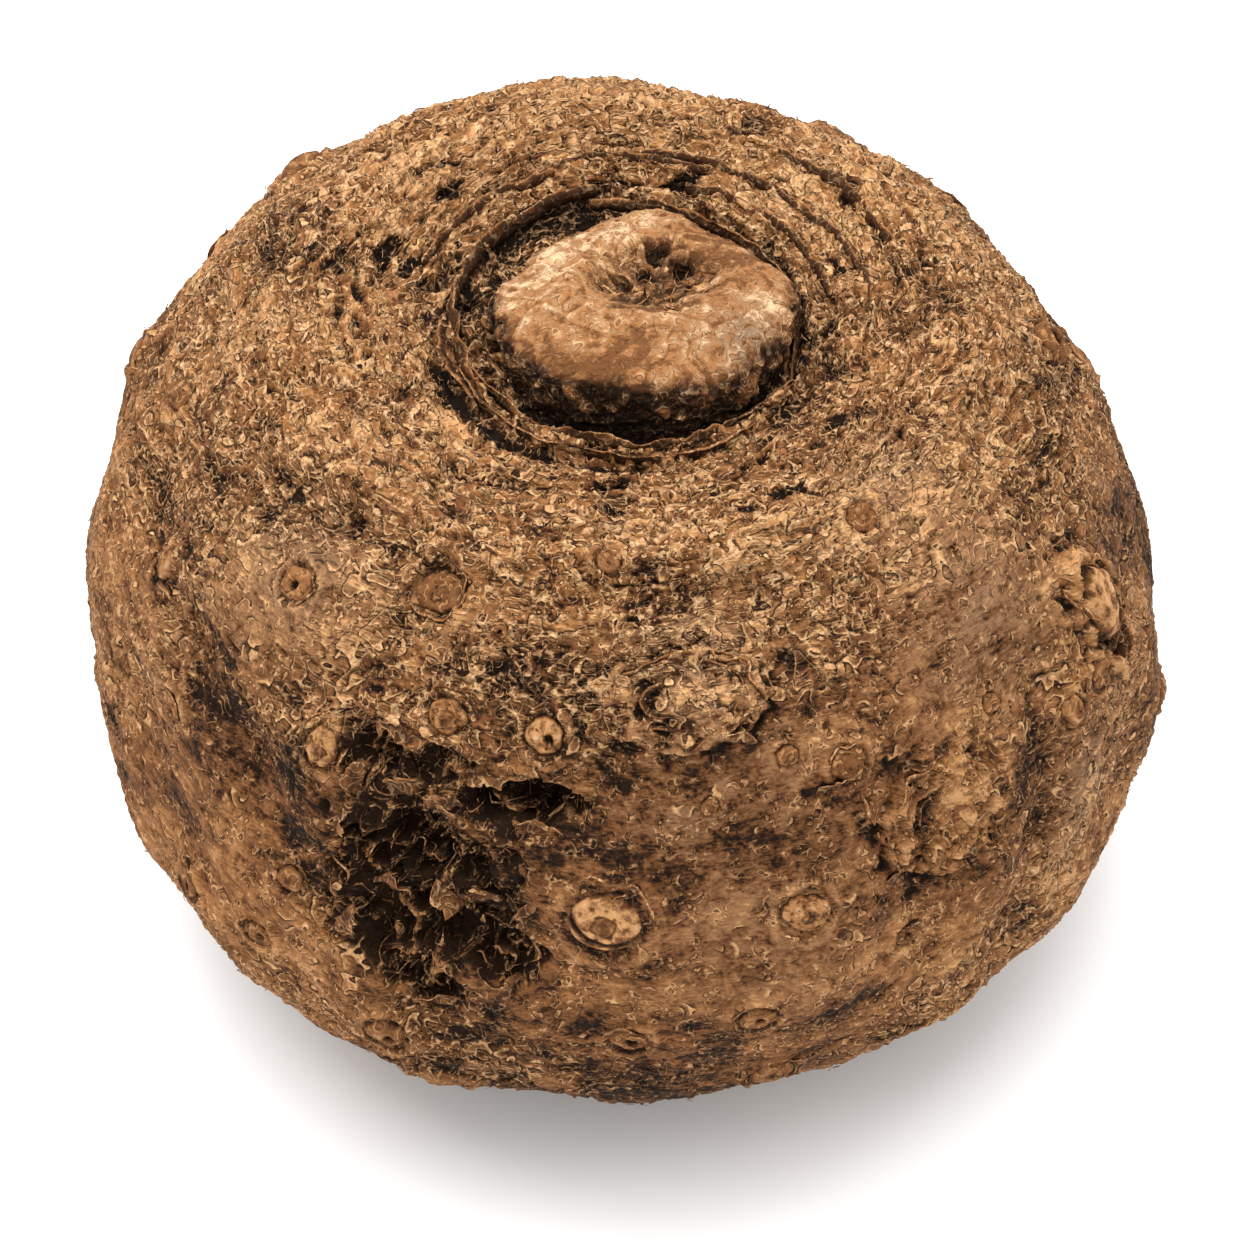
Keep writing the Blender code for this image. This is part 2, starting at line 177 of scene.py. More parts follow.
FOLDS = [
    Fold(-56, 44, -43, 41.5, 5, -2.4),
    Fold(-43, 41.5, -28, 42.5, 5, -2.4),
    Fold(-76, 60, -56, 64, 7, -2.8),
    Fold(-56, 64, -44, 71, 7, -2.8),
    Fold(-44, 71, -33, 80, 7, -2.4),
    Fold(51, 66, 48, 84, 6, -2.6),
    Fold(48, 84, 43, 96, 6, -1.8),
    Fold(-6, 41, 20, 43, 5, -1.6),
    Fold(-3, 59.5, 12, 60.5, 3.5, -2.0),
    Fold(-32, 58, -18, 60, 3, 1.4),
    Fold(-18, 60, -5, 61, 3, 1.2),
    Fold(17, 37, 45, 36, 5, 2.0),
    Fold(-20, 38, 6, 37, 6, 1.4),
    Fold(100, 58, 128, 70, 7, -2.4),
    Fold(128, 70, 140, 92, 7, -2.0),
    Fold(150, 48, 178, 58, 6, -2.2),
    Fold(-150, 66, -122, 82, 7, -2.4),
    Fold(-122, 82, -112, 104, 7, -2.0),
    Fold(-172, 96, -200, 104, 6, -1.8),
    Fold(-112, 50, -92, 56, 6, -1.2),
]

FRONT_SCARS = [
    Scar(64, 65.0, 4.4, 3.0, 0.4, 0.95, 1.75),
    Scar(60, 71.5, 3.2, 1.4, 0.4, 0.25),
    Scar(-66, 61, 2.8, 2.4, 0.4, 0.55, 1.3),
    Scar(-44, 50, 3.3, 1.2, 1.4, 0.35),
    Scar(-26, 44, 5.0, 0.7, 0.4, 0.05, 0.7),
    Scar(-2.5, 37.5, 2.3, 1.8, 0.4, 0.4),
    Scar(-16, 46.5, 1.6, 1.0, 1.6, 0.1),
    Scar(-20.5, 56.5, 3.5, 1.8, 1.0, 0.55),
    Scar(-34, 64.5, 3.1, 2.6, 0.5, 0.75, 1.25),
    Scar(-9, 56.5, 3.4, 1.8, 1.3, 0.85, 1.1),
    Scar(9, 64, 1.7, 1.1, 1.0, 0.4),
    Scar(-2, 77.5, 6.3, 1.7, 0.8, 1.0, 0.95),
    Scar(18, 78, 4.2, 2.2, 0.5, 0.6, 0.8),
    Scar(29.5, 87, 2.6, 0.9, 2.4, 0.0),
    Scar(13, 90.5, 3.4, 0.9, 1.2, 0.3, 0.8),
    Scar(0.5, 94, 3.4, 0.9, 1.2, 0.15),
    Scar(18, 60, 2.0, 1.0, 0.8, 0.35),
    Scar(24.5, 62.5, 3.2, 1.0, 1.0, 0.08),
    Scar(54.5, 72.5, 2.5, 2.0, 0.4, 0.5, 1.3),
    Scar(43.5, 64, 2.0, 1.2, 0.3),
    Scar(95, 50, 4.6, 3.4, 2.0, 0.1),
    Scar(106, 64, 4.0, 1.6, 0.5),
    Scar(-50, 92.5, 3.2, 1.2, 1.2),
    Scar(-39.5, 92, 3.0, 1.0, 1.2),
    Scar(-36, 83, 2.6, 1.0, 1.0),
    Scar(-24.5, 99, 3.8, 1.6, 2.4),
    Scar(-34, 110, 3.6, 2.2, 2.0),
    Scar(-67, 76, 3.0, 1.6, 0.5),
    Scar(-56, 73, 3.0, 0.9, 0.7),
    Scar(61, 82, 3.6, 1.0, 0.7),
    Scar(16.5, 112, 4.2, 1.6, 1.0),
    Scar(-7, 110, 4.6, 1.6, 1.2),
    Scar(-20, 112, 4.4, 1.6, 1.2),
    Scar(38, 39, 3.0, 1.2, 1.0),
    Scar(-132, 51, 4.4, 3.0, 0.6),
    Scar(165, 50, 3.4, 1.4, 0.8),
    Scar(150, 54, 4.0, 1.2, 0.6),
    Scar(134, 58, 3.4, 1.4, 0.8),
]

BUDS = [
    Bud(64, 66.5, 7.0, 13.0, 1.6, 0.0, 6, 2.6),
    Bud(34, 73, 10.5, 10.5, 3.8, 1.2, -20, 0.0),
    Bud(7, 52.5, 13.0, 8.0, 1.7, 1.3, 4, 0.0),
    Bud(-152, 74, 9.0, 7.5, 2.6, 1.4, 15),
    Bud(128, 86, 8.0, 7.0, 2.4, 1.2, -10),
]

BITES = [
    Bite(-16, 64.5, 9.0, 4.4, 7.0),
    Bite(-9.5, 64.2, 8.5, 3.8, 6.5),
    Bite(-22, 62, 6.0, 4.2, 3.5),
    Bite(-28, 62, 5.5, 5.5, 3.0),
    Bite(-21.5, 72.5, 8.5, 6.5, 5.0),
    Bite(-14.5, 73.5, 8.0, 6.0, 5.0),
    Bite(-27.5, 77, 7.5, 8.0, 4.0),
    Bite(-25, 84, 8.5, 7.5, 4.0),
    Bite(-18.5, 81.5, 9.0, 7.0, 5.0),
    Bite(-12, 84, 7.5, 6.0, 3.5),
    Bite(-20, 90, 7.5, 5.0, 2.6),
]

MEMBRANES = [
    Membrane(-72, 64, 32.0, 2.0, -0.2),
    Membrane(-70, 50, 33.5, 1.3, 0.5),
    Membrane(-98, -60, 32.8, 2.4, -0.6),
    Membrane(-90, -58, 34.6, 1.9, 0.8),
    Membrane(-170, -88, 32.2, 1.3, 0.1),
    Membrane(58, 196, 31.4, 1.6, -0.5),
    Membrane(100, 165, 37.5, 0.9, 0.4),
    Membrane(92, 178, 43.5, 0.9, 0.4),
    Membrane(112, 150, 50.0, 0.8, 0.5),
    Membrane(-160, -112, 39.5, 0.9, 0.3),
    Membrane(-200, -160, 42.0, 0.9, 0.3),
]

FLAPS = [
    Flap(-14.5, 61.6, 13, 2.6, 185, 0.2),
    Flap(-9.0, 67.2, 10, 1.6, -8, 0.2),
    Flap(-19.5, 66.4, 9, 3.2, 25, 0.5),
    Flap(-24.0, 66.0, 8, 3.6, 40, 0.6),
    Flap(-29.5, 66.5, 8, 2.6, 80, 0.5),
    Flap(-24.5, 59.5, 9, 2.6, 190, 0.5),
    Flap(-31.0, 72.0, 8, 2.4, 270, 0.4),
    Flap(-14.0, 76.5, 6, 4.0, 15, 0.9),
    Flap(-18.5, 78.0, 7, 3.0, 150, 0.7),
    Flap(-9.5, 78.0, 9, 2.2, 75, 0.4),
    Flap(-24.0, 78.5, 8, 2.6, -20, 0.6),
    Flap(-29.0, 84.0, 9, 2.4, 250, 0.5),
    Flap(-19.0, 92.0, 10, 2.4, 10, 0.5),
    Flap(-11.5, 87.5, 8, 2.2, 60, 0.5),
    Flap(27.0, 68.0, 9, 2.8, 130, 0.8),
    Flap(34.0, 65.5, 10, 2.6, 180, 0.8),
    Flap(40.5, 69.0, 8, 2.8, 230, 0.9),
    Flap(28.0, 78.5, 10, 2.2, 30, 0.6),
    Flap(38.0, 80.0, 9, 2.0, -25, 0.6),
    Flap(60.5, 62.0, 9, 3.0, 120, 0.9),
    Flap(66.0, 59.5, 8, 2.6, 190, 0.8),
    Flap(68.5, 68.0, 10, 2.6, 265, 0.8),
    Flap(61.5, 72.5, 8, 2.4, 50, 0.7),
    Flap(22.5, 64.8, 7, 1.8, 10, 0.6),
    Flap(25.5, 59.8, 7, 1.6, 190, 0.6),
    Flap(-3.0, 55.0, 8, 1.8, 60, 0.5),
    Flap(12.0, 57.0, 9, 1.6, -10, 0.5),
    Flap(14.5, 77.0, 7, 2.0, 70, 0.7),
    Flap(20.5, 81.5, 8, 2.0, -20, 0.7),
    Flap(-2.0, 73.5, 9, 1.6, 180, 0.5),
    Flap(-152.0, 70.0, 9, 2.4, 190, 0.7),
    Flap(-148.0, 78.5, 9, 2.2, 0, 0.7),
    Flap(128.0, 81.5, 8, 2.2, 180, 0.7),
    Flap(131.0, 90.0, 8, 2.0, 10, 0.7),
]

# Smooth, finely grained skin instead of torn fibres
SMOOTH_PATCHES = [
    Patch(14, 70, 22, 0.9),
    Patch(2, 86, 20, 0.7),
    Patch(45, 56, 14, 0.45),
    Patch(46, 40, 9, 0.60),
    Patch(-45, 50, 12, 0.5),
    Patch(-52, 80, 18, 0.5),
    Patch(160, 84, 26, 0.7),
    Patch(-118, 78, 20, 0.6),
]

# Lighter, or darker where negative: partly the skin's own colour and partly painted light and shade of
# the form, such as painted shade low on the front near the floor
TONE_AND_SHADE_PATCHES = [
    Patch(5, 60, 32, -0.48),
    Patch(14, 74, 24, -0.20),
    Patch(-22, 76, 15, -0.30),
    Patch(-50, 68, 11, -0.30),
    Patch(-41, 74, 8, -0.30),
    Patch(-34, 45, 7, -0.45),
    Patch(-86, 86, 16, 0.25),
    Patch(-102, 69, 10, -0.85),
    Patch(7, 41, 5, -0.35),
    Patch(8, 48, 6, 0.55),
    Patch(-10, 47, 8, -0.30),
    Patch(46, 77, 4, -0.35),
    Patch(54, 80, 9, 0.50),
    Patch(82, 76, 22, 0.40),
    Patch(60, 84, 9, 0.30),
    Patch(-62, 92, 20, 0.10),
    Patch(-45, 38, 14, 0.20),
    Patch(-75, 32, 24, 0.15),
    Patch(150, 34, 44, 0.60),
    Patch(-150, 36, 24, 0.30),
    Patch(60, 32, 24, 0.20),
    Patch(0, 34, 14, 0.40),
    Patch(36, 38, 12, 0.35),
    Patch(47, 34, 8, 0.70),
    Patch(28, 46, 9, -0.45),
    Patch(82, 27, 8, -0.95),
    Patch(113, 21, 5, -0.60),
    Patch(126, 30, 9, 0.80),
    Patch(90, 60, 13, 0.35),
    Patch(-45, 90, 10, 0.45),
    Patch(-10, 25, 6, 0.40),
    Patch(-19, 52, 7, 0.40),
    Patch(40, 67, 5, -0.30),
    Patch(8, 76, 5, 0.40),
    # Painted shade low on the front, near the floor
    Patch(-10, 122, 36, -0.95),
    Patch(12, 38, 5, -0.40),
    Patch(113, 62, 9, -0.45),
    Patch(34, 73, 8, 0.20),
    Patch(64, 66, 8, -0.20),
    Patch(0, 104, 26, -0.15),
    Patch(30, 92, 16, 0.22),
    Patch(160, 84, 26, 0.05),
]

# Rotten skin round the torn hollow
ROT_PATCHES = [
    Patch(-28, 62, 7, 0.8),
    Patch(-19, 63, 6, 0.8),
    Patch(-11, 65, 6, 0.8),
    Patch(-26, 71, 8, 0.9),
    Patch(-17, 72, 8, 0.9),
    Patch(-23, 80, 9, 1.0),
    Patch(-14, 81, 7, 0.8),
    Patch(-21, 89, 7, 0.7),
    Patch(-30, 84, 6, 0.5),
    Patch(42, 70, 5, 0.5),
    Patch(22, 58, 4, 0.3),
]

# Greyer skin
GREY_PATCHES = [
    Patch(-46, 48, 12, 0.6),
    Patch(46, 54, 14, 0.5),
    Patch(46, 36, 9, 0.6),
    Patch(56, 84, 10, 0.6),
    Patch(8, 47, 7, 0.5),
    Patch(-92, 80, 16, 0.5),
    Patch(-55, 66, 12, 0.35),
    Patch(8, 60, 18, 0.35),
    Patch(14, 78, 18, 0.25),
    Patch(-150, 60, 18, 0.4),
]


def smooth_min(a: Array, b: Array, blend: float) -> Array:
    """The lower of two values, with the corner between them rounded.

    Args:
        a: First values.
        b: Second values.
        blend: Width over which the corner is rounded.

    Returns:
        The rounded lower values.
    """
    share = np.clip(0.5 + 0.5 * (b - a) / blend, 0, 1)
    return b + (a - b) * share - blend * share * (1 - share)


def ramp(value: Array, low: float, high: float) -> Array:
    """0 below low, 1 above high, and 3t^2 - 2t^3 between them.

    Args:
        value: Values to map.
        low: Where the rise starts.
        high: Where the rise ends.

    Returns:
        Values from 0 to 1.
    """
    share = np.clip((value - low) / (high - low), 0, 1)
    return share * share * (3 - 2 * share)


def direction(azimuth: Array, polar: Array) -> Array:
    """Unit vectors from the corm's middle.

    Args:
        azimuth: Azimuths in radians.
        polar: Polar angles in radians, of the same shape or one that broadcasts.

    Returns:
        Vectors on a last axis of three.
    """
    across = np.sin(polar)
    parts = np.broadcast_arrays(across * np.sin(azimuth), -across * np.cos(azimuth), np.cos(polar))
    return np.stack(parts, axis=-1)


def heading(place: Any) -> Array:
    """The unit vector of a named place.

    Args:
        place: Anything with an azimuth and a polar angle in degrees.

    Returns:
        One vector.
    """
    return direction(np.radians(place.azimuth), np.radians(place.polar))


def patch_sum(way: Array, patches: list[Patch]) -> Array:
    """Adds up soft patches: amount times exp(-2 (angle / reach)^2) for each.

    Args:
        way: Unit vectors of the points.
        patches: The patches.

    Returns:
        One value a point.
    """
    total = np.zeros(way.shape[:-1])
    for patch in patches:
        apart = np.arccos(np.clip(way @ heading(patch), -1, 1))
        total += patch.amount * np.exp(-2 * (apart / math.radians(patch.reach)) ** 2)
    return total


def unit(vectors: Array) -> Array:
    """Vectors scaled to a length of one."""
    return vectors / (np.linalg.norm(vectors, axis=-1, keepdims=True) + 1e-12)


def grid_normals(points: Array, wraps: bool = True) -> Array:
    """Outward normals of a grid: the cross product of its two central differences.

    Args:
        points: Rows from the top down, by columns towards increasing azimuth.
        wraps: Whether the last column meets the first.

    Returns:
        Unit normals in the same shape.
    """
    if wraps:
        along = np.roll(points, -1, axis=1) - np.roll(points, 1, axis=1)
    else:
        along = np.gradient(points, axis=1)
    down = np.gradient(points, axis=0)
    return unit(np.cross(down, along))


class Noise:
    """Smooth random values in space: at each lattice corner a random slope, blended between corners
    with the quintic 6t^5 - 15t^4 + 10t^3."""

    TABLE = 4096

    def __init__(self, seed: int) -> None:
        """Draws the slopes.

        Args:
            seed: Seed of the draw.
        """
        draw = np.random.default_rng(seed)
        self.slopes = unit(draw.normal(size=(self.TABLE, 3)))
        self.mixing = draw.permutation(self.TABLE)

    def at(self, points: Array) -> Array:
        """Values of about -1 to 1.

        Args:
            points: Points on a last axis of three, one lattice step a unit.

        Returns:
            One value a point.
        """
        cell = np.floor(points).astype(np.int64)
        local = points - cell
        fade = local**3 * (local * (6 * local - 15) + 10)
        total = np.zeros(points.shape[:-1])
        mask = self.TABLE - 1
        for corner in np.ndindex(2, 2, 2):
            key = self.mixing[(cell[..., 0] + corner[0]) & mask]
            key = self.mixing[(key + cell[..., 1] + corner[1]) & mask]
            key = self.mixing[(key + cell[..., 2] + corner[2]) & mask]
            lean = np.einsum("...k,...k->...", self.slopes[key], local - np.array(corner))
            share = np.where(np.array(corner) == 1, fade, 1 - fade)
            total += lean * share[..., 0] * share[..., 1] * share[..., 2]
        return total * 1.7

    def octaves(self, points: Array, size: float, count: int, gain: float = 0.5) -> Array:
        """A sum of count noises, each half the size of the last and gain times as high.

        Args:
            points: Points in millimetres.
            size: Lattice step of the first in millimetres.
            count: How many.
            gain: Height of each against the last.

        Returns:
            Values of about -1 to 1.
        """
        total, height, reach = np.zeros(points.shape[:-1]), 1.0, 0.0
        for number in range(count):
            total += height * self.at(points * 2**number / size + 19.7 * number)
            reach += height
            height *= gain
        return total / reach


@dataclass
class CormForm:
    """The corm's main form, as the solid has it: a squashed globe with a sunken crown."""

    body_radius: float = 100.0
    widest_level: float = 64.0
    dome_rise: float = 92.0
    bowl_drop: float = 66.0
    dome_power: float = 2.1
    bowl_power: float = 2.4
    rest_fade: float = 14.0
    swells: int = 16
    swell_height: float = 0.42
    swell_count: float = 13.0
    swell_step: float = 1.1
    moat_radius: float = 30.0
    moat_level: float = 131.5
    dish_radius: float = 36.0
    dish_level: float = 133.0
    dish_slope: float = 0.32
    crown_blend: float = 9.0
    crown_tilt: float = 0.06
    crown_shift: float = 1.0
    crown_reach: float = 75.0
    collar_radius: float = 32.5
    collar_height: float = 4.4
    collar_width: float = 1.1
    fringe_radius: float = 39.5
    fringe_height: float = 1.4
    fringe_width: float = 1.8
    collar_sway: float = 0.8
    collar_pull: float = 2.2
    sway_reach: float = 12.0

    def meridian(self, polar: Array) -> tuple[Array, Array]:
        """Radius and height of the plain corm: two half superellipses, the upper one cut by the
        dish and the moat, the lower one by the floor.

        Args:
            polar: Polar angles.

        Returns:
            Radii and heights.
        """
        upper = polar < math.pi / 2
        power = 2 / np.where(upper, self.dome_power, self.bowl_power)
        radius = self.body_radius * np.abs(np.sin(polar)) ** power
        rise = np.abs(np.cos(polar)) ** power
        height = self.widest_level + np.where(upper, self.dome_rise, -self.bowl_drop) * rise
        dish = self.dish_level + self.dish_slope * np.maximum(radius - self.dish_radius, 0)
        share = ramp(radius, self.moat_radius, self.dish_radius)
        dish = self.moat_level + (dish - self.moat_level) * share
        crown = smooth_min(height, dish, self.crown_blend)
        return radius, np.where(upper, crown, np.maximum(height, 0))

    def polar_at(self, radius: Array) -> Array:
        """Polar angle at which the upper half has this radius."""
        return np.arcsin((np.asarray(radius) / self.body_radius) ** (self.dome_power / 2))

    def swelling(self, way: Array) -> Array:
        """Low waves that cross the corm in directions spread evenly by the golden angle.

        Args:
            way: Unit vectors of the points.

        Returns:
            Heights.
        """
        total = np.zeros(way.shape[:-1])
        for number in range(self.swells):
            level = 1 - (number + 0.5) * 2 / self.swells
            turn = GOLDEN_ANGLE * number
            across = math.sqrt(1 - level * level)
            aim = np.array([across * math.cos(turn), across * math.sin(turn), level])
            count = self.swell_count + self.swell_step * number
            total += np.sin(count * (way @ aim) + number * number) * self.swell_count / count
        return total * self.swell_height

    def relief(self, azimuth: Array, polar: Array) -> Array:
        """How far the surface stands out from the plain corm: swells, bulges, then folds.

        Args:
            azimuth: Azimuths.
            polar: Polar angles.

        Returns:
            Heights.
        """
        way = direction(azimuth, polar)
        total = self.swelling(way)
        for bulge in BULGES:
            apart = np.arccos(np.clip(way @ heading(bulge), -1, 1))
            total += bulge.height * np.exp(-2 * (apart / math.radians(bulge.reach)) ** 2)
        for fold in FOLDS:
            start = heading(fold)
            end = direction(np.radians(fold.end_azimuth), np.radians(fold.end_polar))
            share = np.clip((way - start) @ (end - start) / ((end - start) @ (end - start)), 0, 1)
            apart = np.linalg.norm(way - start - share[..., None] * (end - start), axis=-1)
            total += fold.height * np.exp(-((apart * self.body_radius / fold.width) ** 2))
        return total

    def collars(self, radius: Array, azimuth: Array) -> Array:
        """Height of the thin collar in the moat, lower in a few places, and of its outer fringe.

        Args:
            radius: Distance from the axis.
            azimuth: Azimuths.

        Returns:
            Heights.
        """
        wear = 0.85 + 0.15 * np.sin(3 * azimuth + 0.7) * np.sin(7 * azimuth)
        bell = np.exp(-(((radius - self.collar_radius) / self.collar_width) ** 2))
        broken = 0.6 + 0.4 * np.sin(4 * azimuth + 2.0)
        outer = np.exp(-(((radius - self.fringe_radius) / self.fringe_width) ** 2))
        return self.collar_height * wear * bell + self.fringe_height * broken * outer

    def surface(self, azimuth: Array, polar: Array) -> Array:
        """Points of the lumpy corm: the meridian, moved along its normal by the relief.

        Args:
            azimuth: Azimuths.
            polar: Polar angles.

        Returns:
            Points on a last axis of three.
        """
        step = 1e-3
        radius, height = self.meridian(polar)
        next_radius, next_height = self.meridian(polar + step)
        last_radius, last_height = self.meridian(np.maximum(polar - step, 0))
        run, fall = next_radius - last_radius, next_height - last_height
        length = np.hypot(run, fall) + 1e-9
        raised = self.relief(azimuth, polar) * ramp(height, 0, self.rest_fade)
        upper = polar < math.pi / 2
        in_crown = upper * ramp(-radius, -self.crown_reach, -self.fringe_radius)
        height = height + run / length * raised + upper * self.collars(radius, azimuth)
        sway = self.collar_sway * (np.sin(2 * azimuth + 1.0) + 0.6 * np.sin(5 * azimuth + 2.6))
        sway = sway - self.collar_pull * np.maximum(np.cos(azimuth), 0)
        near = upper * np.exp(-(((radius - self.collar_radius) / self.sway_reach) ** 2))
        radius = radius - fall / length * raised + sway * near
        x = radius * np.sin(azimuth) + in_crown * self.crown_shift
        y = -radius * np.cos(azimuth)
        return np.stack([x, y, height + in_crown * self.crown_tilt * y], axis=-1)

    def frame_at(self, place: Any, turn: float = 0.0) -> tuple[Array, Array, Array, Array]:
        """A frame on the surface.

        Args:
            place: Anything with an azimuth and a polar angle in degrees.
            turn: Turn about the outward axis in degrees.

        Returns:
            The point, the level axis, the upward axis and the outward axis.
        """
        step = 0.03
        shifts = np.array([[0, 0], [step, 0], [-step, 0], [0, step], [0, -step]])
        angles = np.radians([place.azimuth, place.polar]) + shifts
        spot, right, left, down, up = self.surface(angles[:, 0], angles[:, 1])
        level = unit(right - left)
        out = unit(np.cross(level, up - down))
        rise = np.cross(out, level)
        angle = math.radians(turn)
        first = level * math.cos(angle) + rise * math.sin(angle)
        return spot, first, np.cross(out, first), out


def all_scars() -> list[Scar]:
    """The front scars and those of the far side, which are drawn in rows along the growth rings, a
    golden angle apart, and clear of the others.

    Returns:
        Every root scar.
    """
    draw = random.Random(11)
    placed: list[Scar] = []
    number = 0
    while len(placed) < 15:
        azimuth = (number * math.degrees(GOLDEN_ANGLE)) % 360 - 180 + draw.uniform(-5, 5)
        polar = 46 + (number * 7.3) % 66 + draw.uniform(-3, 3)
        number += 1
        if abs(azimuth) < 74:
            continue
        way = Vector(direction(np.radians(azimuth), np.radians(polar)))
        apart = min(way.angle(Vector(heading(other))) for other in FRONT_SCARS + placed + BUDS)
        if apart < math.radians(11):
            continue
        radius = draw.uniform(2.2, 4.2)
        placed.append(Scar(azimuth, polar, radius, draw.uniform(1.0, 2.2), draw.uniform(0.4, 1.8)))
    return FRONT_SCARS + placed


def grid_faces(rows: int, columns: int, wraps: bool) -> Array:
    """Quads of a grid of rows by columns, outward for rows going down and azimuth rising.

    Args:
        rows: Number of rows of points.
        columns: Number of columns of points.
        wraps: Whether the last column joins the first.

    Returns:
        Four point numbers a face.
    """
    index = np.arange(rows * columns).reshape(rows, columns)
    right = np.roll(index, -1, axis=1)
    if not wraps:
        index, right = index[:, :-1], right[:, :-1]
    quads = [index[:-1], index[1:], right[1:], right[:-1]]
    return np.stack(quads, axis=-1).reshape(-1, 4)


def make_piece(
    name: str, points: Array, faces: Array, dress: bpy.types.Material, **qualities: Array
) -> bpy.types.Object:
    """Puts a mesh into the scene as a finished piece of the corm, held inside the solid's box.

    Args:
        name: Name of the piece.
        points: Points in millimetres.
        faces: Point numbers, three or four a face.
        dress: Its material.
        **qualities: A value or a vector for each point, kept as attributes of those names.

    Returns:
        The piece.
    """
    sides = faces.shape[1]
    low, high = np.array(PART_BOUNDS) / MM
    points = np.clip(points, low + [0.05, 0.05, 0], high - 0.05)
    mesh = bpy.data.meshes.new(name)
    mesh.vertices.add(len(points))
    mesh.vertices.foreach_set("co", (points * MM).astype(np.float32).ravel())
    mesh.loops.add(faces.size)
    mesh.loops.foreach_set("vertex_index", faces.astype(np.int32).ravel())
    mesh.polygons.add(len(faces))
    mesh.polygons.foreach_set("loop_start", np.arange(0, faces.size, sides, dtype=np.int32))
    mesh.polygons.foreach_set("use_smooth", np.ones(len(faces), dtype=bool))
    for word, values in qualities.items():
        vector = values.ndim == 2
        kind = "FLOAT_VECTOR" if vector else "FLOAT"
        kept = mesh.attributes.new(word, kind, "POINT")
        kept.data.foreach_set("vector" if vector else "value", values.astype(np.float32).ravel())
    mesh.update()
    mesh.validate()
    mesh.materials.append(dress)
    piece = bpy.data.objects.new(name, mesh)
    bpy.context.scene.collection.objects.link(piece)
    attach(piece, "root")
    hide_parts("corm")
    LOG.info("%s: %d faces, %d points", name, len(faces), len(points))
    return piece


class Value:
    """A socket of a material whose arithmetic adds Math nodes."""

    def __init__(self, tree: "Tree", socket: bpy.types.NodeSocket) -> None:
        """Wraps one output socket of a tree."""
        self.tree = tree
        self.socket = socket

    def math(self, operation: str, *others: Any) -> "Value":
        """A Math node on this value and others.

        Args:
            operation: Name of the operation.
            *others: Numbers or values for its other sockets.

        Returns:
            The result.
        """
        inputs = dict(enumerate((self, *others)))
        node = self.tree.node("ShaderNodeMath", {"operation": operation}, inputs)
        return Value(self.tree, node.outputs[0])

    def __add__(self, other: Any) -> "Value":
        """Sum."""
        return self.math("ADD", other)

    def __radd__(self, other: Any) -> "Value":
        """Sum, reflected."""
        return self.math("ADD", other)

    def __sub__(self, other: Any) -> "Value":
        """Difference."""
        return self.math("SUBTRACT", other)

    def __rsub__(self, other: Any) -> "Value":
        """Difference, reflected."""
        return self.math("MULTIPLY", -1.0).math("ADD", other)

    def __mul__(self, other: Any) -> "Value":
        """Product."""
        return self.math("MULTIPLY", other)

    def __rmul__(self, other: Any) -> "Value":
        """Product, reflected."""
        return self.math("MULTIPLY", other)

    def held(self) -> "Value":
        """Limited to 0 to 1."""
        return self.math("MINIMUM", 1.0).math("MAXIMUM", 0.0)

    def ramp(self, low: float, high: float) -> "Value":
        """A smooth rise from 0 at low to 1 at high, or a fall where high is lower.

        Args:
            low: Where the result is 0.
            high: Where the result is 1.

        Returns:
            The result, 0 to 1.
        """
        settings = {"interpolation_type": "SMOOTHSTEP", "clamp": True}
        start, end = (0.0, 1.0) if low < high else (1.0, 0.0)
        inputs = {0: self, 1: min(low, high), 2: max(low, high), 3: start, 4: end}
        node = self.tree.node("ShaderNodeMapRange", settings, inputs)
        return Value(self.tree, node.outputs[0])


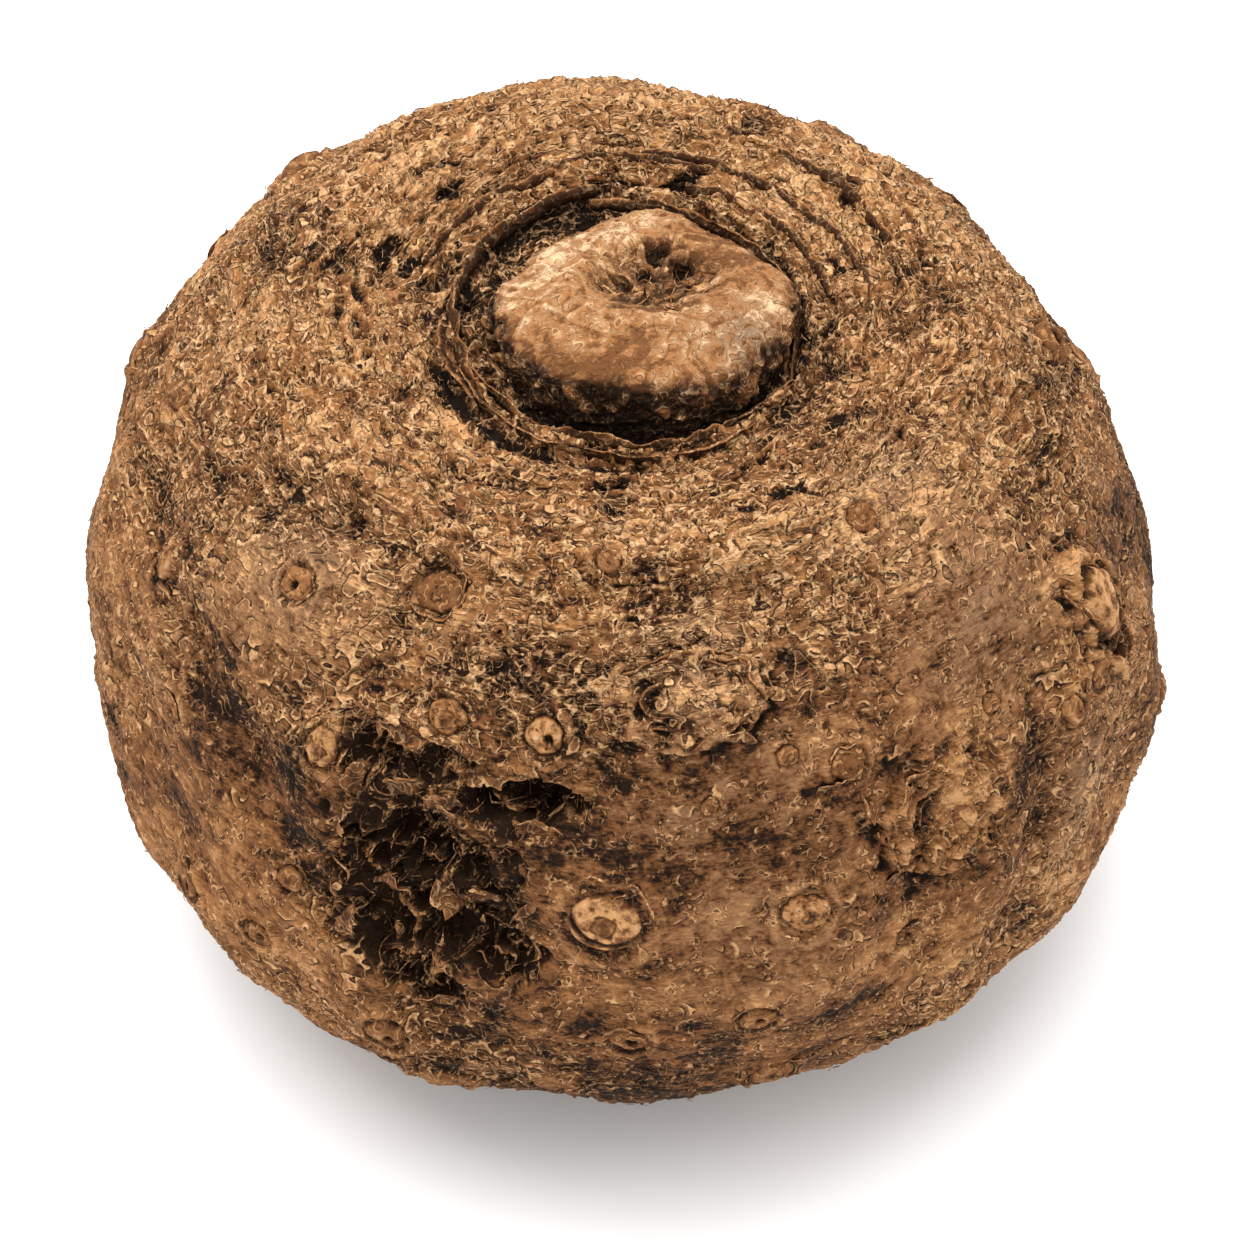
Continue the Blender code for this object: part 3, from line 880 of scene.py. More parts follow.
class Tree:
    """The nodes of one material."""

    def __init__(self, name: str) -> None:
        """Starts a material with a Principled BSDF.

        Args:
            name: Name of the material.
        """
        self.material = bpy.data.materials.new(name)
        self.material.use_nodes = True
        self.nodes = self.material.node_tree.nodes
        self.shader = self.nodes["Principled BSDF"]

    def node(self, kind: str, settings: dict[str, Any], inputs: dict[Any, Any]) -> bpy.types.Node:
        """Adds a node.

        Args:
            kind: Type of the node.
            settings: Its properties, which are set first.
            inputs: Values or links by socket name or number.

        Returns:
            The node.
        """
        made = self.nodes.new(kind)
        for word, value in settings.items():
            setattr(made, word, value)
        for key, value in inputs.items():
            self.feed(made.inputs[key], value)
        return made

    def feed(self, socket: bpy.types.NodeSocket, value: Any) -> None:
        """Links a wrapped value to a socket, or sets a plain one.

        Args:
            socket: An input socket.
            value: A Value, a number or a tuple.
        """
        if isinstance(value, Value):
            self.material.node_tree.links.new(value.socket, socket)
        else:
            socket.default_value = value

    def attribute(self, word: str, vector: bool = False) -> Value:
        """A quality that is kept with the mesh."""
        node = self.node("ShaderNodeAttribute", {"attribute_name": word}, {})
        return Value(self, node.outputs["Vector" if vector else "Fac"])

    def place(self) -> Value:
        """Object coordinates in metres."""
        return Value(self, self.node("ShaderNodeTexCoord", {}, {}).outputs["Object"])

    def noise(self, where: Value, scale: float, detail: float, rough: float = 0.6) -> Value:
        """Noise of about 0 to 1 at this scale."""
        inputs = {"Vector": where, "Scale": scale, "Detail": detail, "Roughness": rough}
        return Value(self, self.node("ShaderNodeTexNoise", {}, inputs).outputs["Fac"])

    def mix(self, share: Any, first: Any, second: Any) -> Value:
        """A colour between two, where share is 0 for the first and 1 for the second."""
        inputs = {0: share, 6: first, 7: second}
        return Value(self, self.node("ShaderNodeMix", {"data_type": "RGBA"}, inputs).outputs[2])

    def swirl(self, where: Value, scale: float, reach: float) -> Value:
        """A position moved by up to half of reach each way, by a noise of this scale.

        Args:
            where: The position.
            scale: Scale of the noise.
            reach: Twice the farthest that it moves.

        Returns:
            The moved position.
        """
        inputs = {"Vector": where, "Scale": scale, "Detail": 0.0}
        noise = Value(self, self.node("ShaderNodeTexNoise", {}, inputs).outputs["Color"])
        centred = self.vectors("SUBTRACT", noise, (0.5, 0.5, 0.5))
        return self.vectors("MULTIPLY_ADD", centred, (reach, reach, reach), where)

    def vectors(self, operation: str, *inputs: Any) -> Value:
        """A Vector Math node on these positions or vectors."""
        node = self.node("ShaderNodeVectorMath", {"operation": operation}, dict(enumerate(inputs)))
        return Value(self, node.outputs[0])

    def finish(self, colour: Value, rough: Value, height: Value, depth: float) -> bpy.types.Material:
        """Links the shader's colour, roughness and bumped normal.

        Args:
            colour: Base colour.
            rough: Roughness.
            height: Bump height of 0 to 1.
            depth: Height of a whole step in metres.

        Returns:
            The material.
        """
        bump = self.node(
            "ShaderNodeBump", {}, {"Strength": 1.0, "Distance": depth, "Height": height}
        )
        self.feed(self.shader.inputs["Base Color"], colour)
        self.feed(self.shader.inputs["Roughness"], rough)
        self.feed(self.shader.inputs["Normal"], Value(self, bump.outputs[0]))
        self.shader.inputs["Specular IOR Level"].default_value = 0.12
        return self.material


class Tint(Enum):
    """The colours of the corm, as linear red, green, blue and alpha."""

    # CREVICE and SHADE are dark bark and also serve as painted shade in gaps, cracks, moats and
    # hollows
    CREVICE = (0.0084, 0.0034, 0.0013, 1)
    SHADE = (0.0378, 0.0143, 0.0046, 1)
    BARK = (0.1302, 0.0504, 0.016, 1)
    EARTH = (0.2604, 0.1126, 0.0386, 1)
    FIBRE = (0.4536, 0.2352, 0.0966, 1)
    PALE = (0.6216, 0.4032, 0.2184, 1)
    KNOB = (0.3948, 0.2016, 0.084, 1)
    GREY = (0.1806, 0.1159, 0.0706, 1)
    ROT = (0.0168, 0.0067, 0.0025, 1)
    STALK = (0.294, 0.1512, 0.0655, 1)
    POWDER = (0.56, 0.36, 0.205, 1)


class Flakes(NamedTuple):
    """What a layer of overlapping flakes gives to a finish: a bump height, a painted highlight on each
    rim and a painted shadow in each gap.
    """

    height: Value
    rim: Value
    gap: Value


def flake_layer(tree: Tree, where: Value, scale: float, count: float, breaks: Any) -> Flakes:
    """A layer of overlapping flakes: a noise is cut into terraces that rise slowly and fall off at
    once, with a painted highlight on the rim at the top of each and a painted shadow in the gap
    at its foot.

    Args:
        tree: The material's nodes.
        where: Position that the noise reads.
        scale: Scale of the noise.
        count: Terraces in the whole range of the noise.
        breaks: 0 to 1, where the flakes are there at all.

    Returns:
        Height, rim and gap, each 0 to 1: the rim is a painted highlight and the gap a painted shadow.
    """
    share = (tree.noise(where, scale, 1.0, 0.35) * count).math("FRACT")
    # Painted highlight on the rim, and painted shadow in the gap at the foot
    rim = share.ramp(0.70, 0.90) * share.ramp(1.0, 0.96) * breaks
    return Flakes(share * share * breaks, rim, share.ramp(0.26, 0.02) * breaks)


@dataclass(frozen=True)
class BarkFinish:
    """Dry bark: mid brown on the body, with painted shade in crevices and in the gaps of its flakes,
    and painted highlights on the rims of its flakes.
    """

    name: str = "bark"
    bump_depth: float = 0.0012

    def build(self) -> bpy.types.Material:
        """Makes the material.

        Returns:
            The material.
        """
        tree = Tree(self.name)
        place = tree.place()
        crust_and_shading, fluff, grey, rot, knob = (
            tree.attribute(word) for word in ("crust_and_shading", "fluff", "grey", "rot", "knob")
        )
        grain = tree.attribute("grain", vector=True)
        speckle = tree.noise(place, 1500.0, 1.0, 0.7)
        patchy = tree.noise(place, 230.0, 0.0)
        streak = tree.noise(grain, 3.6, 1.0, 0.6) - 0.5
        wide = tree.swirl(place, 230.0, 0.0036)
        curly = tree.swirl(place, 520.0, 0.0015)
        torn = fluff.ramp(0.15, 0.85)
        large = flake_layer(tree, wide, 215.0, 5.0, (patchy + torn * 0.30).ramp(0.66, 0.76))
        small = flake_layer(tree, curly, 560.0, 3.2, (torn * 0.16 - patchy).ramp(-0.52, -0.45))
        long = flake_layer(
            tree, tree.swirl(grain, 0.9, 0.9), 1.0, 5.0, patchy.ramp(0.40, 0.56) * (torn + 0.12)
        )
        bare = 1.0 - knob
        # Rims are painted highlights and gaps painted shadows of the flakes
        rims = (large.rim + small.rim * 0.8 + long.rim * 0.5).held() * bare
        gaps = (large.gap + small.gap * 0.7 + long.gap * 0.6).held() * bare
        level = crust_and_shading + (speckle - 0.5) * 0.6 + streak * 0.6
        # Lighter towards the top of each flake: painted light
        level = level + (large.height * 0.34 + long.height * 0.2 - 0.13) * bare
        body = tree.mix(level.ramp(-0.05, 0.20), Tint.CREVICE.value, Tint.SHADE.value)
        body = tree.mix(level.ramp(0.10, 0.42), body, Tint.BARK.value)
        body = tree.mix(level.ramp(0.38, 0.80), body, Tint.EARTH.value)
        body = tree.mix((grey * level.ramp(0.25, 0.7)).held(), body, Tint.GREY.value)
        body = tree.mix((level - rot * 0.25).ramp(0.76, 1.15), body, Tint.FIBRE.value)
        cap = (knob * level.ramp(0.10, 0.60)).held()
        body = tree.mix(cap * 0.7, body, Tint.KNOB.value)
        body = tree.mix((rot * level.ramp(0.80, 0.30)).held(), body, Tint.ROT.value)
        # Painted shadow in the gaps between flakes
        body = tree.mix(gaps * 0.9, body, Tint.CREVICE.value)
        sheen = (level * 1.0 + 0.25).held()
        # Painted highlights on the flake rims, with a painted glint on some
        body = tree.mix(rims * sheen, body, Tint.FIBRE.value)
        glint = speckle.ramp(0.46, 0.56) * (torn * 0.5 + 0.3)
        body = tree.mix(rims * glint * sheen, body, Tint.PALE.value)
        layers = large.height * 0.65 + small.height * 0.30 + long.height * 0.30
        bump = layers * bare - gaps * 0.3 + (speckle - 0.5) * 0.25 + streak * 0.35
        return tree.finish(body, 0.92 - crust_and_shading * 0.1, bump, self.bump_depth)


@dataclass(frozen=True)
class ButtonFinish:
    """The stalk scar: pale tan with fine cracks on top, dark and knobbly down its side, where the
    darkness is partly painted shade; its flakes carry painted shadows and painted highlights.
    """

    name: str = "button"
    bump_depth: float = 0.0007

    def build(self) -> bpy.types.Material:
        """Makes the material.

        Returns:
            The material.
        """
        tree = Tree(self.name)
        place = tree.place()
        crust_and_shading, side, pit, grey = (
            tree.attribute(word) for word in ("crust_and_shading", "side", "pit", "grey")
        )
        speckle = tree.noise(place, 1300.0, 2.0, 0.7)
        mottle = tree.noise(place, 150.0, 3.0, 0.7)
        breaks = tree.noise(place, 300.0, 0.0)
        curly = tree.swirl(place, 380.0, 0.0018)
        flakes = flake_layer(tree, curly, 300.0, 6.0, breaks.ramp(0.44, 0.56))
        chips = flake_layer(tree, curly, 760.0, 4.0, breaks.ramp(0.62, 0.50))
        torn = (side * 0.4 + pit * 0.4 + 0.60).held()
        level = crust_and_shading + (speckle - 0.5) * 0.8 + (mottle - 0.5) * 1.1
        top = tree.mix(level.ramp(0.05, 0.45), Tint.BARK.value, Tint.EARTH.value)
        top = tree.mix(level.ramp(0.40, 0.75), top, Tint.STALK.value)
        top = tree.mix((grey * level.ramp(0.2, 0.6)).held(), top, Tint.GREY.value)
        top = tree.mix(level.ramp(0.70, 1.15), top, Tint.POWDER.value)
        rim = tree.mix(level.ramp(-0.05, 0.35), Tint.CREVICE.value, Tint.SHADE.value)
        rim = tree.mix(level.ramp(0.30, 0.60), rim, Tint.BARK.value)
        rim = tree.mix(level.ramp(0.65, 1.05), rim, Tint.EARTH.value)
        rim = tree.mix(level.ramp(1.05, 1.30), rim, Tint.FIBRE.value)
        body = tree.mix(side, top, rim)
        floor = tree.mix(level.ramp(0.10, 0.50), Tint.CREVICE.value, Tint.BARK.value)
        floor = tree.mix(level.ramp(0.45, 0.95), floor, Tint.FIBRE.value)
        body = tree.mix(pit, body, floor)
        # Painted shadow in the flake gaps, then painted highlights on the flake rims
        body = tree.mix((flakes.gap + chips.gap).held() * torn, body, Tint.SHADE.value)
        rims = (flakes.rim + chips.rim * 0.8).held() * (torn * 0.5 + 0.1)
        rims = rims * (level + 0.2).held()
        body = tree.mix(rims, body, Tint.PALE.value)
        bump = crust_and_shading * 0.3 + (flakes.height + chips.height * 0.5) * torn * 0.8
        bump = bump + (speckle - 0.5) * 0.25
        return tree.finish(body, 0.9 - crust_and_shading * 0.12, bump, self.bump_depth)


@dataclass(frozen=True)
class StumpFinish:
    """A root stump: smooth pale cork with fine rings, brown in its core, with painted shade round its
    foot and painted shadows and highlights on its flakes.
    """

    name: str = "stump"
    bump_depth: float = 0.0006

    def build(self) -> bpy.types.Material:
        """Makes the material.

        Returns:
            The material.
        """
        tree = Tree(self.name)
        shade, pale = tree.attribute("shade"), tree.attribute("pale")
        place = tree.place()
        speckle = tree.noise(place, 1500.0, 2.0, 0.7)
        mottle = tree.noise(place, 420.0, 2.0, 0.6)
        flakes = flake_layer(tree, tree.swirl(place, 520.0, 0.0015), 430.0, 3.5, 1.0)
        level = shade + (speckle - 0.5) * 0.5 + (mottle - 0.5) * 0.7
        body = tree.mix(level.ramp(-0.10, 0.18), Tint.CREVICE.value, Tint.SHADE.value)
        body = tree.mix(level.ramp(0.08, 0.42), body, Tint.BARK.value)
        light = tree.mix((pale * 2.0).held(), Tint.BARK.value, Tint.EARTH.value)
        light = tree.mix((pale * 2.0 - 1.0).held(), light, Tint.FIBRE.value)
        body = tree.mix(level.ramp(0.36, 0.70), body, light)
        glow = tree.mix(pale, Tint.EARTH.value, Tint.POWDER.value)
        body = tree.mix(level.ramp(0.70, 1.10), body, glow)
        bare = 1.0 - pale * 0.6
        # Painted shadow in the flake gaps, and painted highlights on the flake rims
        body = tree.mix(flakes.gap * bare * 0.7, body, Tint.SHADE.value)
        body = tree.mix(flakes.rim * bare * (shade + 0.2).held() * 0.7, body, Tint.FIBRE.value)
        bump = speckle * 0.5 + shade * 0.6 + flakes.height * bare * 0.7
        return tree.finish(body, 0.88 - shade * 0.08, bump, self.bump_depth)


@dataclass(frozen=True)
class FibreFinish:
    """Loose dry fibres, each with its own shade from brown to straw."""

    name: str = "fibre"
    bump_depth: float = 0.0005

    def build(self) -> bpy.types.Material:
        """Makes the material.

        Returns:
            The material.
        """
        tree = Tree(self.name)
        shade = tree.attribute("shade")
        place = tree.place()
        speckle = tree.noise(place, 1500.0, 2.0, 0.7)
        flakes = flake_layer(tree, tree.swirl(place, 380.0, 0.0018), 500.0, 4.0, 1.0)
        level = shade + (speckle - 0.5) * 0.7
        body = tree.mix(level.ramp(0.0, 0.30), Tint.SHADE.value, Tint.BARK.value)
        body = tree.mix(level.ramp(0.22, 0.60), body, Tint.EARTH.value)
        body = tree.mix(level.ramp(0.55, 0.95), body, Tint.FIBRE.value)
        # Painted shadow in the flake gaps, and painted highlights on the flake rims
        body = tree.mix(flakes.gap * 0.6, body, Tint.SHADE.value)
        body = tree.mix(flakes.rim * (shade + 0.2).held() * 0.8, body, Tint.PALE.value)
        bump = speckle * 0.4 + flakes.height * 0.6
        return tree.finish(body, 0.9 - shade * 0.1, bump, self.bump_depth)


def flake_steps(level: Array, count: float) -> Array:
    """Relief of overlapping flakes from a noise: terraces that rise slowly and fall off at once,
    with a gap at the foot of each.

    Args:
        level: Noise of about -1 to 1.
        count: Terraces in one unit of the noise.

    Returns:
        Heights of about -0.7 to 0.7.
    """
    share = level * count - np.floor(level * count)
    lip = share**1.6 * ramp(-share, -1.0, -0.88)
    return 1.1 * lip - 0.5 * ramp(-share, -0.16, 0.0) - 0.3


def swirled(points: Array, noise: Noise, size: float, reach: float) -> Array:
    """Points moved by three noises of this size, by up to reach."""
    moves = [noise.at(points / size + 41.0 * number) for number in range(3)]
    return points + reach * np.stack(moves, axis=-1)


@dataclass
class Skin:
    """The bark, worked out as one grid round the whole corm and cut into zones."""

    BRIDGE = ((-29.0, 57.0), (-12.5, 73.0))

    form: CormForm
    columns: int = 880
    crown_rows: int = 112
    side_rows: int = 190
    base_rows: int = 24
    crowding: float = 0.25
    crown_edge: float = 66.0
    side_edge: float = 113.0
    front_half: float = 92.0
    coarse: Noise = field(default_factory=lambda: Noise(3))
    fine: Noise = field(default_factory=lambda: Noise(4))
    ragged: Noise = field(default_factory=lambda: Noise(8))
    points: Array = field(init=False)
    tone: Array = field(init=False)
    qualities: dict[str, Array] = field(init=False)

    def rows(self) -> Array:
        """Polar angles of the rows: the crown in even radii, then the side and base in even angles.

        Returns:
            The angles.
        """
        inner = np.array([0.8, 10.0, 18.0, 23.0])
        radii = np.linspace(26.0, self.crown_edge, self.crown_rows - len(inner))
        crown = self.form.polar_at(np.concatenate([inner, radii]))
        side = np.linspace(crown[-1], math.radians(self.side_edge), self.side_rows + 1)[1:]
        base = np.linspace(side[-1], math.pi - 0.01, self.base_rows + 1)[1:]
        return np.concatenate([crown, side, base])

    def angles(self) -> tuple[Array, Array]:
        """Angles of every grid point; the columns crowd towards the front.

        Returns:
            Azimuths and polar angles.
        """
        turn = np.linspace(-math.pi, math.pi, self.columns, endpoint=False)
        azimuth = (turn - self.crowding * np.sin(turn))[None, :]
        return tuple(np.broadcast_arrays(azimuth, self.rows()[:, None]))

    def work_out(self) -> None:
        """Fills points, the lightness patches with their painted light and shade, and qualities: the
        form, then bark relief along its normals.
        """
        azimuth, polar = self.angles()
        plain = self.form.surface(azimuth, polar)
        out = grid_normals(plain)
        way = direction(azimuth, polar)
        radius, height = self.form.meridian(self.rows())
        arc = np.concatenate([[0], np.cumsum(np.hypot(np.diff(radius), np.diff(height)))])
        sway = self.coarse.at(plain / 27.0)
        lumps = self.coarse.octaves(plain + 50, 8.0, 2)
        along = arc[:, None] + 3.0 * sway + 0.8 * lumps
        smooth = np.clip(patch_sum(way, SMOOTH_PATCHES), 0, 1)
        fluff = 0.45 + 0.55 * ramp(-np.degrees(polar), -66, -40)
        fluff = np.clip(fluff + 0.3 * sway - 0.75 * smooth * (polar > 0.6), 0.06, 1)
        detail = self.bark_relief(plain, along, fluff, lumps)
        detail = detail + self.growth_rings(plain, along, radius[:, None], polar, lumps)
        gaping = self.crown_gaps(plain, along, azimuth, radius[:, None], polar)
        detail = detail - 1.6 * gaping
        raised, crevice, knob = self.root_scars(plain)
        bud_raised, bud_crevice, bud_knob = self.bud_rings(plain)
        depth, rot, net = self.torn_hollow(plain, way)
        calm = (1 - 0.75 * np.clip(knob, 0, 1)) * (1 - 0.5 * rot)
        resting = ramp(plain[..., 2], 0.2, 9.0)
        total = (detail * calm + raised + bud_raised - depth - 0.45) * resting
        shove = swirled(plain, self.fine, 2.2, 0.35) - plain
        self.points = plain + out * total[..., None] + shove * (fluff * resting)[..., None]
        cavity = self.form.relief(azimuth, polar) - self.form.swelling(way)
        # Lightness patches: the skin's own colour with painted light and shade of the form
        self.tone = np.clip(patch_sum(way, TONE_AND_SHADE_PATCHES) + 0.15 * sway, -1, 1)
        crust_and_shading = self.ground(plain, along, fluff, cavity)
        # Painted light and shade: lighter where the bark's relief stands up, darker in its hollows
        crust_and_shading = crust_and_shading + 0.33 * detail * calm / (0.25 + 0.75 * fluff)
        # Painted shade in the cracks, seats, troughs and pits of the scars and buds, lighter on their
        # lips and frills
        crust_and_shading = crust_and_shading + 0.55 * (crevice + bud_crevice) * (1 - rot) + rot * (0.9 * net - 0.35)
        # Painted shadow in the moat between the button and the collar, deepest at the front
        shadow = 0.50 + 0.55 * np.maximum(np.cos(azimuth), 0)
        crust_and_shading = crust_and_shading - shadow * self.in_moat(radius[:, None], polar)
        # Painted shade in the crown's gaps and deep in the torn hollow, less on the net's veins
        crust_and_shading = crust_and_shading - 0.9 * gaping - 0.9 * ramp(depth, 2.5, 5.5) * rot * (1 - 0.8 * net)
        grain = np.stack([plain[..., 0] / 6.0, plain[..., 1] / 6.0, along / 1.5], axis=-1)
        self.qualities = {
            "crust_and_shading": np.clip(crust_and_shading, -0.3, 1.3),
            "fluff": fluff,
            "grey": np.clip(patch_sum(way, GREY_PATCHES), 0, 1),
            "rot": rot,
            "knob": np.clip(knob + bud_knob, 0, 1) * (1 - rot),
            "grain": grain,
        }

    def ground(self, plain: Array, along: Array, fluff: Array, cavity: Array) -> Array:
        """Brightness of the bark before its relief: the lightness patches with their painted light and
        shade, an even mottle and one that is drawn out along the rings, and painted shade in the folds
        with painted light on the ridges.

        Args:
            plain: Points of the form.
            along: Length along the meridian from the top, with its sway.
            fluff: Looseness of the bark.
            cavity: How far the form stands out from its neighbourhood.

        Returns:
            Brightness, at least 0.14.
        """
        scale, count, fade = 24.0, 4, 0.85
        flow = np.stack([0.5 * plain[..., 0], 0.5 * plain[..., 1], 1.9 * along], axis=-1)
        flow = swirled(flow, self.fine, 9.0, 3.0)
        mottle = 0.65 * self.coarse.octaves(plain + 130, scale, count, fade)
        mottle = mottle + 0.65 * self.coarse.octaves(flow, scale, count, fade)
        ground = 0.48 + (0.60 + 0.72 * fluff) * mottle + 0.45 * self.tone
        # Painted shade in the folds and painted light on the ridges
        return np.maximum(ground + 0.085 * np.clip(cavity, -4, 3), 0.14)

    def in_moat(self, radius: Array, polar: Array) -> Array:
        """How far inside the ring between the button and the collar a point is, 0 to 1; the ring gets
        a painted shadow.
        """
        return ramp(-radius, -33.0, -31.0) * (polar < 1.5) * np.ones_like(polar)

    def bark_relief(self, plain: Array, along: Array, fluff: Array, lumps: Array) -> Array:
        """Relief of the bark: lumps, two layers of flakes, fibres along the rings, and crumbs.

        Args:
            plain: Points of the form.
            along: Distance down the meridian, waved.
            fluff: How torn the bark is.
            lumps: Noise of the lumps.

        Returns:
            Heights.
        """
        flow = np.stack([plain[..., 0], plain[..., 1], 1.7 * along], axis=-1)
        large = flake_steps(self.coarse.at(swirled(flow, self.fine, 7.0, 3.0) / 13.0), 2.6)
        small = flake_steps(self.fine.at(swirled(plain, self.coarse, 4.0, 2.0) / 6.0 + 9), 1.7)
        stretched = np.stack([plain[..., 0] / 8.0, plain[..., 1] / 8.0, along / 2.6], axis=-1)
        streak = 1 - 2 * np.abs(self.coarse.at(stretched))
        thin = 1 - 2 * np.abs(self.fine.at(stretched * 2.1 + 7))
        crumb = self.fine.octaves(plain, 2.2, 2, 0.6)
        torn = 0.85 * large + 0.55 * small + 0.3 * streak + 0.15 * thin + 0.25 * crumb + 0.8 * lumps
        quiet = 0.14 * large + 0.14 * small + 0.08 * streak + 0.08 * thin + 0.12 * crumb
        return fluff * torn + (1 - fluff) * (quiet + 0.25 * lumps)

    def growth_rings(
        self, plain: Array, along: Array, radius: Array, polar: Array, lumps: Array
    ) -> Array:
        """Torn rings of old leaf bases round the crown: a slow rise and a sudden fall every few
        millimetres outwards, broken up round the ring.

        Args:
            plain: Points of the form.
            along: Distance down the meridian, waved.
            radius: Distance from the axis.
            polar: Polar angles.
            lumps: Noise of the lumps.

        Returns:
            Heights.
        """
        phase = (along + 2.2 * self.fine.at(plain / 9.0 + 70) + 0.8 * lumps) / 6.3
        share = phase - np.floor(phase)
        lip = share**2 * ramp(-share, -1.0, -0.88)
        crack = np.exp(-(((share - 0.06) / 0.07) ** 2))
        broken = ramp(self.coarse.at(plain / 10.0 + 90), -0.35, 0.15)
        zone = ramp(radius, 33.5, 37) * ramp(-np.degrees(polar), -44, -33) * (polar < 1.5)
        return zone * broken * (0.8 * lip - 0.7 * crack - 0.1)

    def crown_gaps(
        self, plain: Array, along: Array, azimuth: Array, radius: Array, polar: Array
    ) -> Array:
        """Gaps in the crown, which get painted shade: a groove outside the collar, deepest at the
        front left, and the meshes of a net of old fibres that is stretched along the rings.

        Args:
            plain: Points of the form.
            along: Distance down the meridian, waved.
            azimuth: Azimuths.
            radius: Distance from the axis.
            polar: Polar angles.

        Returns:
            How deep each point lies in a gap, 0 to 1.
        """
        curled = swirled(plain, self.fine, 5.0, 2.6)
        mesh = np.stack([curled[..., 0] / 7.0, curled[..., 1] / 7.0, along / 3.4], axis=-1)
        open_ = ramp(self.coarse.at(mesh + 140), 0.16, 0.42)
        open_ = open_ * ramp(self.coarse.at(plain / 14.0 + 60), -0.15, 0.30)
        near = ramp(-radius, -62, -42) * ramp(radius, 33.5, 36) * (polar < 1.5)
        side = 0.12 + 0.88 * ramp(np.cos(azimuth + 0.56), 0.66, 0.84)
        wander = radius + 1.0 * self.coarse.at(plain / 8.0 + 20)
        groove = np.exp(-(((wander - 36.2) / 1.3) ** 2)) * side * (polar < 1.5)
        return np.clip(0.85 * near * open_ + groove, 0, 1)

    def near(self, plain: Array, place: Any, reach: float, turn: float = 0.0) -> tuple:
        """Grid points near a place, in the place's own frame.

        Args:
            plain: Points of the form.
            place: Anything with an azimuth and a polar angle in degrees.
            reach: Distance within which points are taken.
            turn: Turn of the frame in degrees.

        Returns:
            Mask of the points, and their level and upward distances.
        """
        spot, level, rise, _ = self.form.frame_at(place, turn)
        mask = np.linalg.norm(plain - spot, axis=-1) < reach
        offset = plain[mask] - spot
        return mask, offset @ level, offset @ rise

    def root_scars(self, plain: Array) -> tuple[Array, Array, Array]:
        """Relief of the bark round the root stumps: a mound with a sunk seat, a broken crack round
        the seat and a ragged lip round that.

        Args:
            plain: Points of the form.

        Returns:
            Heights, painted shade (darker in the crack and the sunk seat, painted light on the lip)
            and the mask of the seats.
        """
        raised, crevice, seat = (np.zeros(plain.shape[:-1]) for _ in range(3))
        for number, scar in enumerate(all_scars()):
            mask, across, up = self.near(plain, scar, 2.6 * scar.radius * max(scar.tall, 1))
            flat = np.stack([across, up, 0 * up + number * 7.0], axis=-1)
            wobble = 1 + 0.20 * self.ragged.at(flat / (1.1 * scar.radius) + 3.1 * number)
            apart = np.hypot(across, up / max(scar.tall, 1)) / scar.radius
            broken = ramp(self.ragged.at(flat / (0.9 * scar.radius) + 60), -0.35, 0.25)
            sunk = ramp(-apart, -1.04, -0.86)
            crack = np.exp(-(((apart - 1.10) / 0.09) ** 2)) * (0.35 + 0.65 * broken)
            lip = np.exp(-(((apart * wobble - 1.36) / 0.17) ** 2)) * (1 - 0.75 * broken)
            raised[mask] += 0.45 * scar.height * ramp(-apart, -1.9, -1.1)
            raised[mask] += 0.75 * lip - 0.5 * crack - 1.0 * sunk
            # Painted shade in the crack and the seat, painted light on the lip
            crevice[mask] += 0.55 * lip - 0.55 * crack - 0.4 * sunk
            seat[mask] += sunk + 0.35 * lip
        return raised, crevice, seat

    def bud_rings(self, plain: Array) -> tuple[Array, Array, Array]:
        """Relief of the buds: ragged frills round a heart, each torn away in places.

        Args:
            plain: Points of the form.

        Returns:
            Heights, painted shade (darker in the troughs, the pit, the inner gap and the moat, painted
            light on the plinth and frills) and knob colour.
        """
        raised, crevice, knob = (np.zeros(plain.shape[:-1]) for _ in range(3))
        for number, bud in enumerate(BUDS):
            reach = 2.0 * max(bud.half_width, bud.half_height)
            mask, across, up = self.near(plain, bud, reach, bud.turn)
            flat = np.stack([across, up, 0 * up + 9.0 * number], axis=-1)
            wave = 0.22 * self.ragged.at(flat / 5.5) + 0.16 * self.ragged.at(flat / 2.4 + 8)
            apart = np.hypot(across / bud.half_width, up / bud.half_height) * (1 + wave)
            broken = ramp(self.ragged.at(flat / 4.0 + 30), -0.3, 0.3)
            frills, troughs = np.zeros(apart.shape), np.zeros(apart.shape)
            for ring, width in ((0.98, 0.07), (0.74, 0.06), (0.50, 0.06)):
                torn = ramp(self.ragged.at(flat / 4.0 + 30 + 9 * ring), -0.2, 0.3)
                frills += np.exp(-(((apart - ring) / width) ** 2)) * torn * ring
                troughs += np.exp(-(((apart - ring - 1.8 * width) / width) ** 2)) * broken
            plinth = ramp(-apart, -1.15, -0.85)
            moat = np.exp(-(((apart - 1.22) / 0.11) ** 2)) * (0.3 + 0.7 * broken)
            inner = ramp(-apart, -0.92, -0.78)
            crumb = self.ragged.octaves(flat + 4, 3.4, 3, 0.75)
            pit = np.exp(-(((apart - 0.45) / 0.22) ** 2)) * ramp(-across / bud.half_width, 0.0, 0.3)
            raised[mask] += plinth * (bud.rise * 0.5 + 1.1 * crumb) + bud.rise * 0.6 * frills
            raised[mask] -= (0.4 + 0.4 * bud.pit) * troughs + bud.pit * pit + bud.gap * inner
            raised[mask] -= 0.7 * moat
